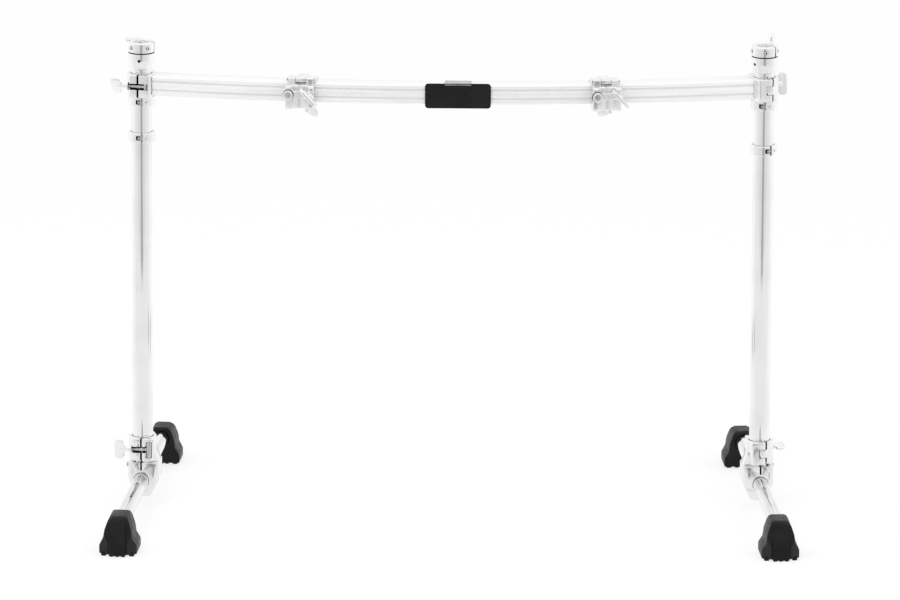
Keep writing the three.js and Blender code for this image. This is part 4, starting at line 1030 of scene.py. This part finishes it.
def makePipeClamps():
    kinds = {"body": (makeSaddle(), cast, "chrome"), "hook": (makeHook(), cast, "chrome"),
             "hook_pin": (makeHookPin(), steel, "steel"), "strap": (makeStrap(), cast, "chrome"),
             "strap_pin": (makeStrapPin(), steel, "steel"), "jaw_bolt": (makeJawBolt(), chrome, "chrome")}
    screw, screwTurns = makeRailScrew(), (-0.5, math.pi - 0.5)
    for number, screwTurn in zip((1, 2), screwTurns):
        hinge = joints[f"clamp_{number}_hook_hinge"]
        turn = math.atan2(hinge["axis"][1], hinge["axis"][0])
        hingeAt = Matrix.Rotation(turn, 3, "Z") @ Vector((0, saddle["hingeY"], saddle["hingeZ"]))
        seat = Vector(hinge["pos_m"]) / mm - hingeAt
        where = {"x": seat.x, "y": seat.y, "z": seat.z, "turn": turn}
        for kind, (model, finish, slot) in kinds.items():
            dress(moved(another(model), **where), f"pipe_clamp_{number}_{kind}", finish)
        piece = moved(another(screw), saddle["screwX"], saddle["screwY"], 0, screwTurn)
        dress(moved(piece, **where), f"pipe_clamp_{number}_rail_screw", chrome)
    discard(screw, *(kind[0] for kind in kinds.values()))


makePosts()
makeTops()
makeTopWings()
print("posts, cups, rings and their wing bolts made")
makeClampPieces()
print("split clamps made")
makeLocks()
print("stop locks made")
makeBases()
print("bases, legs and feet made")
railArc = makeRail()
makeBadge(*railArc)
print("rail and plate made")
makePipeClamps()
print("pipe clamps made")


# Floor, lamps and white background

def picked(tree, factor, a, b):
    node = tree.nodes.new("ShaderNodeMix")
    plugged(tree, node.inputs["Factor"], factor)
    plugged(tree, node.inputs["A"], a)
    plugged(tree, node.inputs["B"], b)
    return node.outputs["Result"]


def toneRamp(tree, stops, value):
    ramp = tree.nodes.new("ShaderNodeValToRGB")
    ends = ramp.color_ramp.elements
    ends[0].position, ends[1].position = stops[0][0], stops[-1][0]
    for at, tone in stops[1:-1]:
        ramp.color_ramp.elements.new(at)
    for element, (at, tone) in zip(ramp.color_ramp.elements, stops):
        element.color = (tone, tone, tone, 1)
    tree.links.new(value, ramp.inputs["Fac"])
    return ramp.outputs["Color"]


def apart(tree, coordinates):  # X, Y and Z of the places or directions that a texture would read
    split = tree.nodes.new("ShaderNodeSeparateXYZ")
    tree.links.new(tree.nodes.new("ShaderNodeTexCoord").outputs[coordinates], split.inputs["Vector"])
    return split.outputs


def anyOf(tree, *rays):
    path = tree.nodes.new("ShaderNodeLightPath").outputs
    seen = path[rays[0]]
    for ray in rays[1:]:
        seen = reckoned(tree, "MAXIMUM", seen, path[ray])
    return seen


# Seen straight on the floor is white, apart from the share of shadow that it keeps, and metal mirrors the tones
def makeFloor():
    floor = {"wide": 6, "front": -1.75, "back": 5, "pale": 0.95, "keep": 0.26,
             "mirrored": ((0, 0.72), (0.17, 0.76), (0.3, 0.94), (0.45, 1), (1, 0.95))}
    deep = floor["back"] - floor["front"]
    bpy.ops.object.select_all(action="DESELECT")
    bpy.ops.mesh.primitive_plane_add(size=1, location=(0, floor["front"] + deep / 2, 0))
    piece = bpy.context.object
    piece.scale = (floor["wide"], deep, 1)
    bpy.ops.object.transform_apply(scale=True, location=True)
    piece.name = "floor"
    material = bpy.data.materials.new("paleFloor")
    material.use_nodes = True
    tree = material.node_tree
    shader = tree.nodes["Principled BSDF"]
    shader.inputs["Base Color"].default_value = (floor["pale"],) * 3 + (1,)
    shader.inputs["Roughness"].default_value = 0.9
    shader.inputs["Specular IOR Level"].default_value = 0
    depth = reckoned(tree, "SUBTRACT", apart(tree, "Object")["Y"], floor["front"])
    mirrored = toneRamp(tree, floor["mirrored"], reckoned(tree, "DIVIDE", depth, deep))
    glow = tree.nodes.new("ShaderNodeEmission")
    plugged(tree, glow.inputs["Strength"], picked(tree, anyOf(tree, "Is Glossy Ray"), 1, mirrored))
    seen = anyOf(tree, "Is Camera Ray", "Is Glossy Ray", "Is Transmission Ray")
    mix = tree.nodes.new("ShaderNodeMixShader")
    plugged(tree, mix.inputs["Fac"], reckoned(tree, "MULTIPLY", seen, 1 - floor["keep"]))
    tree.links.new(shader.outputs["BSDF"], mix.inputs[1])
    tree.links.new(glow.outputs["Emission"], mix.inputs[2])
    tree.links.new(mix.outputs["Shader"], tree.nodes["Material Output"].inputs["Surface"])
    finished(piece, material)


# Round from the front to the back metal mirrors a narrow dark gap, for the line on the tubes, then grey, then white
def makeRoom():
    room = {"plain": 0.97, "round": ((0, 0.36), (0.035, 0.4), (0.07, 0.7), (0.2, 0.75), (0.35, 0.83), (0.5, 0.95),
                                     (0.62, 1), (0.84, 1), (0.92, 0.8), (1, 0.97)),
            "rise": ((0, 0), (0.25, 0), (0.55, 1), (1, 1))}
    world = bpy.data.worlds.new("whiteRoom")
    bpy.context.scene.world = world
    world.use_nodes = True
    tree = world.node_tree
    way = apart(tree, "Generated")
    aside, toFront = reckoned(tree, "ABSOLUTE", way["X"], 0), reckoned(tree, "MULTIPLY", way["Y"], -1)
    turn = reckoned(tree, "DIVIDE", reckoned(tree, "ARCTAN2", aside, toFront), math.pi)
    around = picked(tree, toneRamp(tree, room["rise"], way["Z"]), toneRamp(tree, room["round"], turn), 1)
    tone = picked(tree, anyOf(tree, "Is Glossy Ray"), room["plain"], around)
    background = tree.nodes["Background"]
    background.inputs["Color"].default_value = (1, 1, 1, 1)
    clear = anyOf(tree, "Is Camera Ray", "Is Transmission Ray")
    plugged(tree, background.inputs["Strength"], picked(tree, clear, tone, 1))


def makeLamps():
    lamps = {"key": {"place": (-1.6, -2.2, 3.2), "size": 2.4, "power": 34},
             "fill": {"place": (2.4, -1.6, 2.2), "size": 2.2, "power": 14}}
    aim = Vector((0, 0, 0.4))
    for name, facts in lamps.items():
        bpy.ops.object.light_add(type="AREA", location=facts["place"])
        lamp = bpy.context.object
        lamp.name = name
        lamp.data.size = facts["size"]
        lamp.data.energy = facts["power"]
        lamp.visible_glossy = False
        lamp.rotation_euler = (aim - Vector(facts["place"])).to_track_quat("-Z", "Y").to_euler()


makeFloor()
makeRoom()
makeLamps()
print("stage made")
bpy.ops.object.select_all(action="DESELECT")
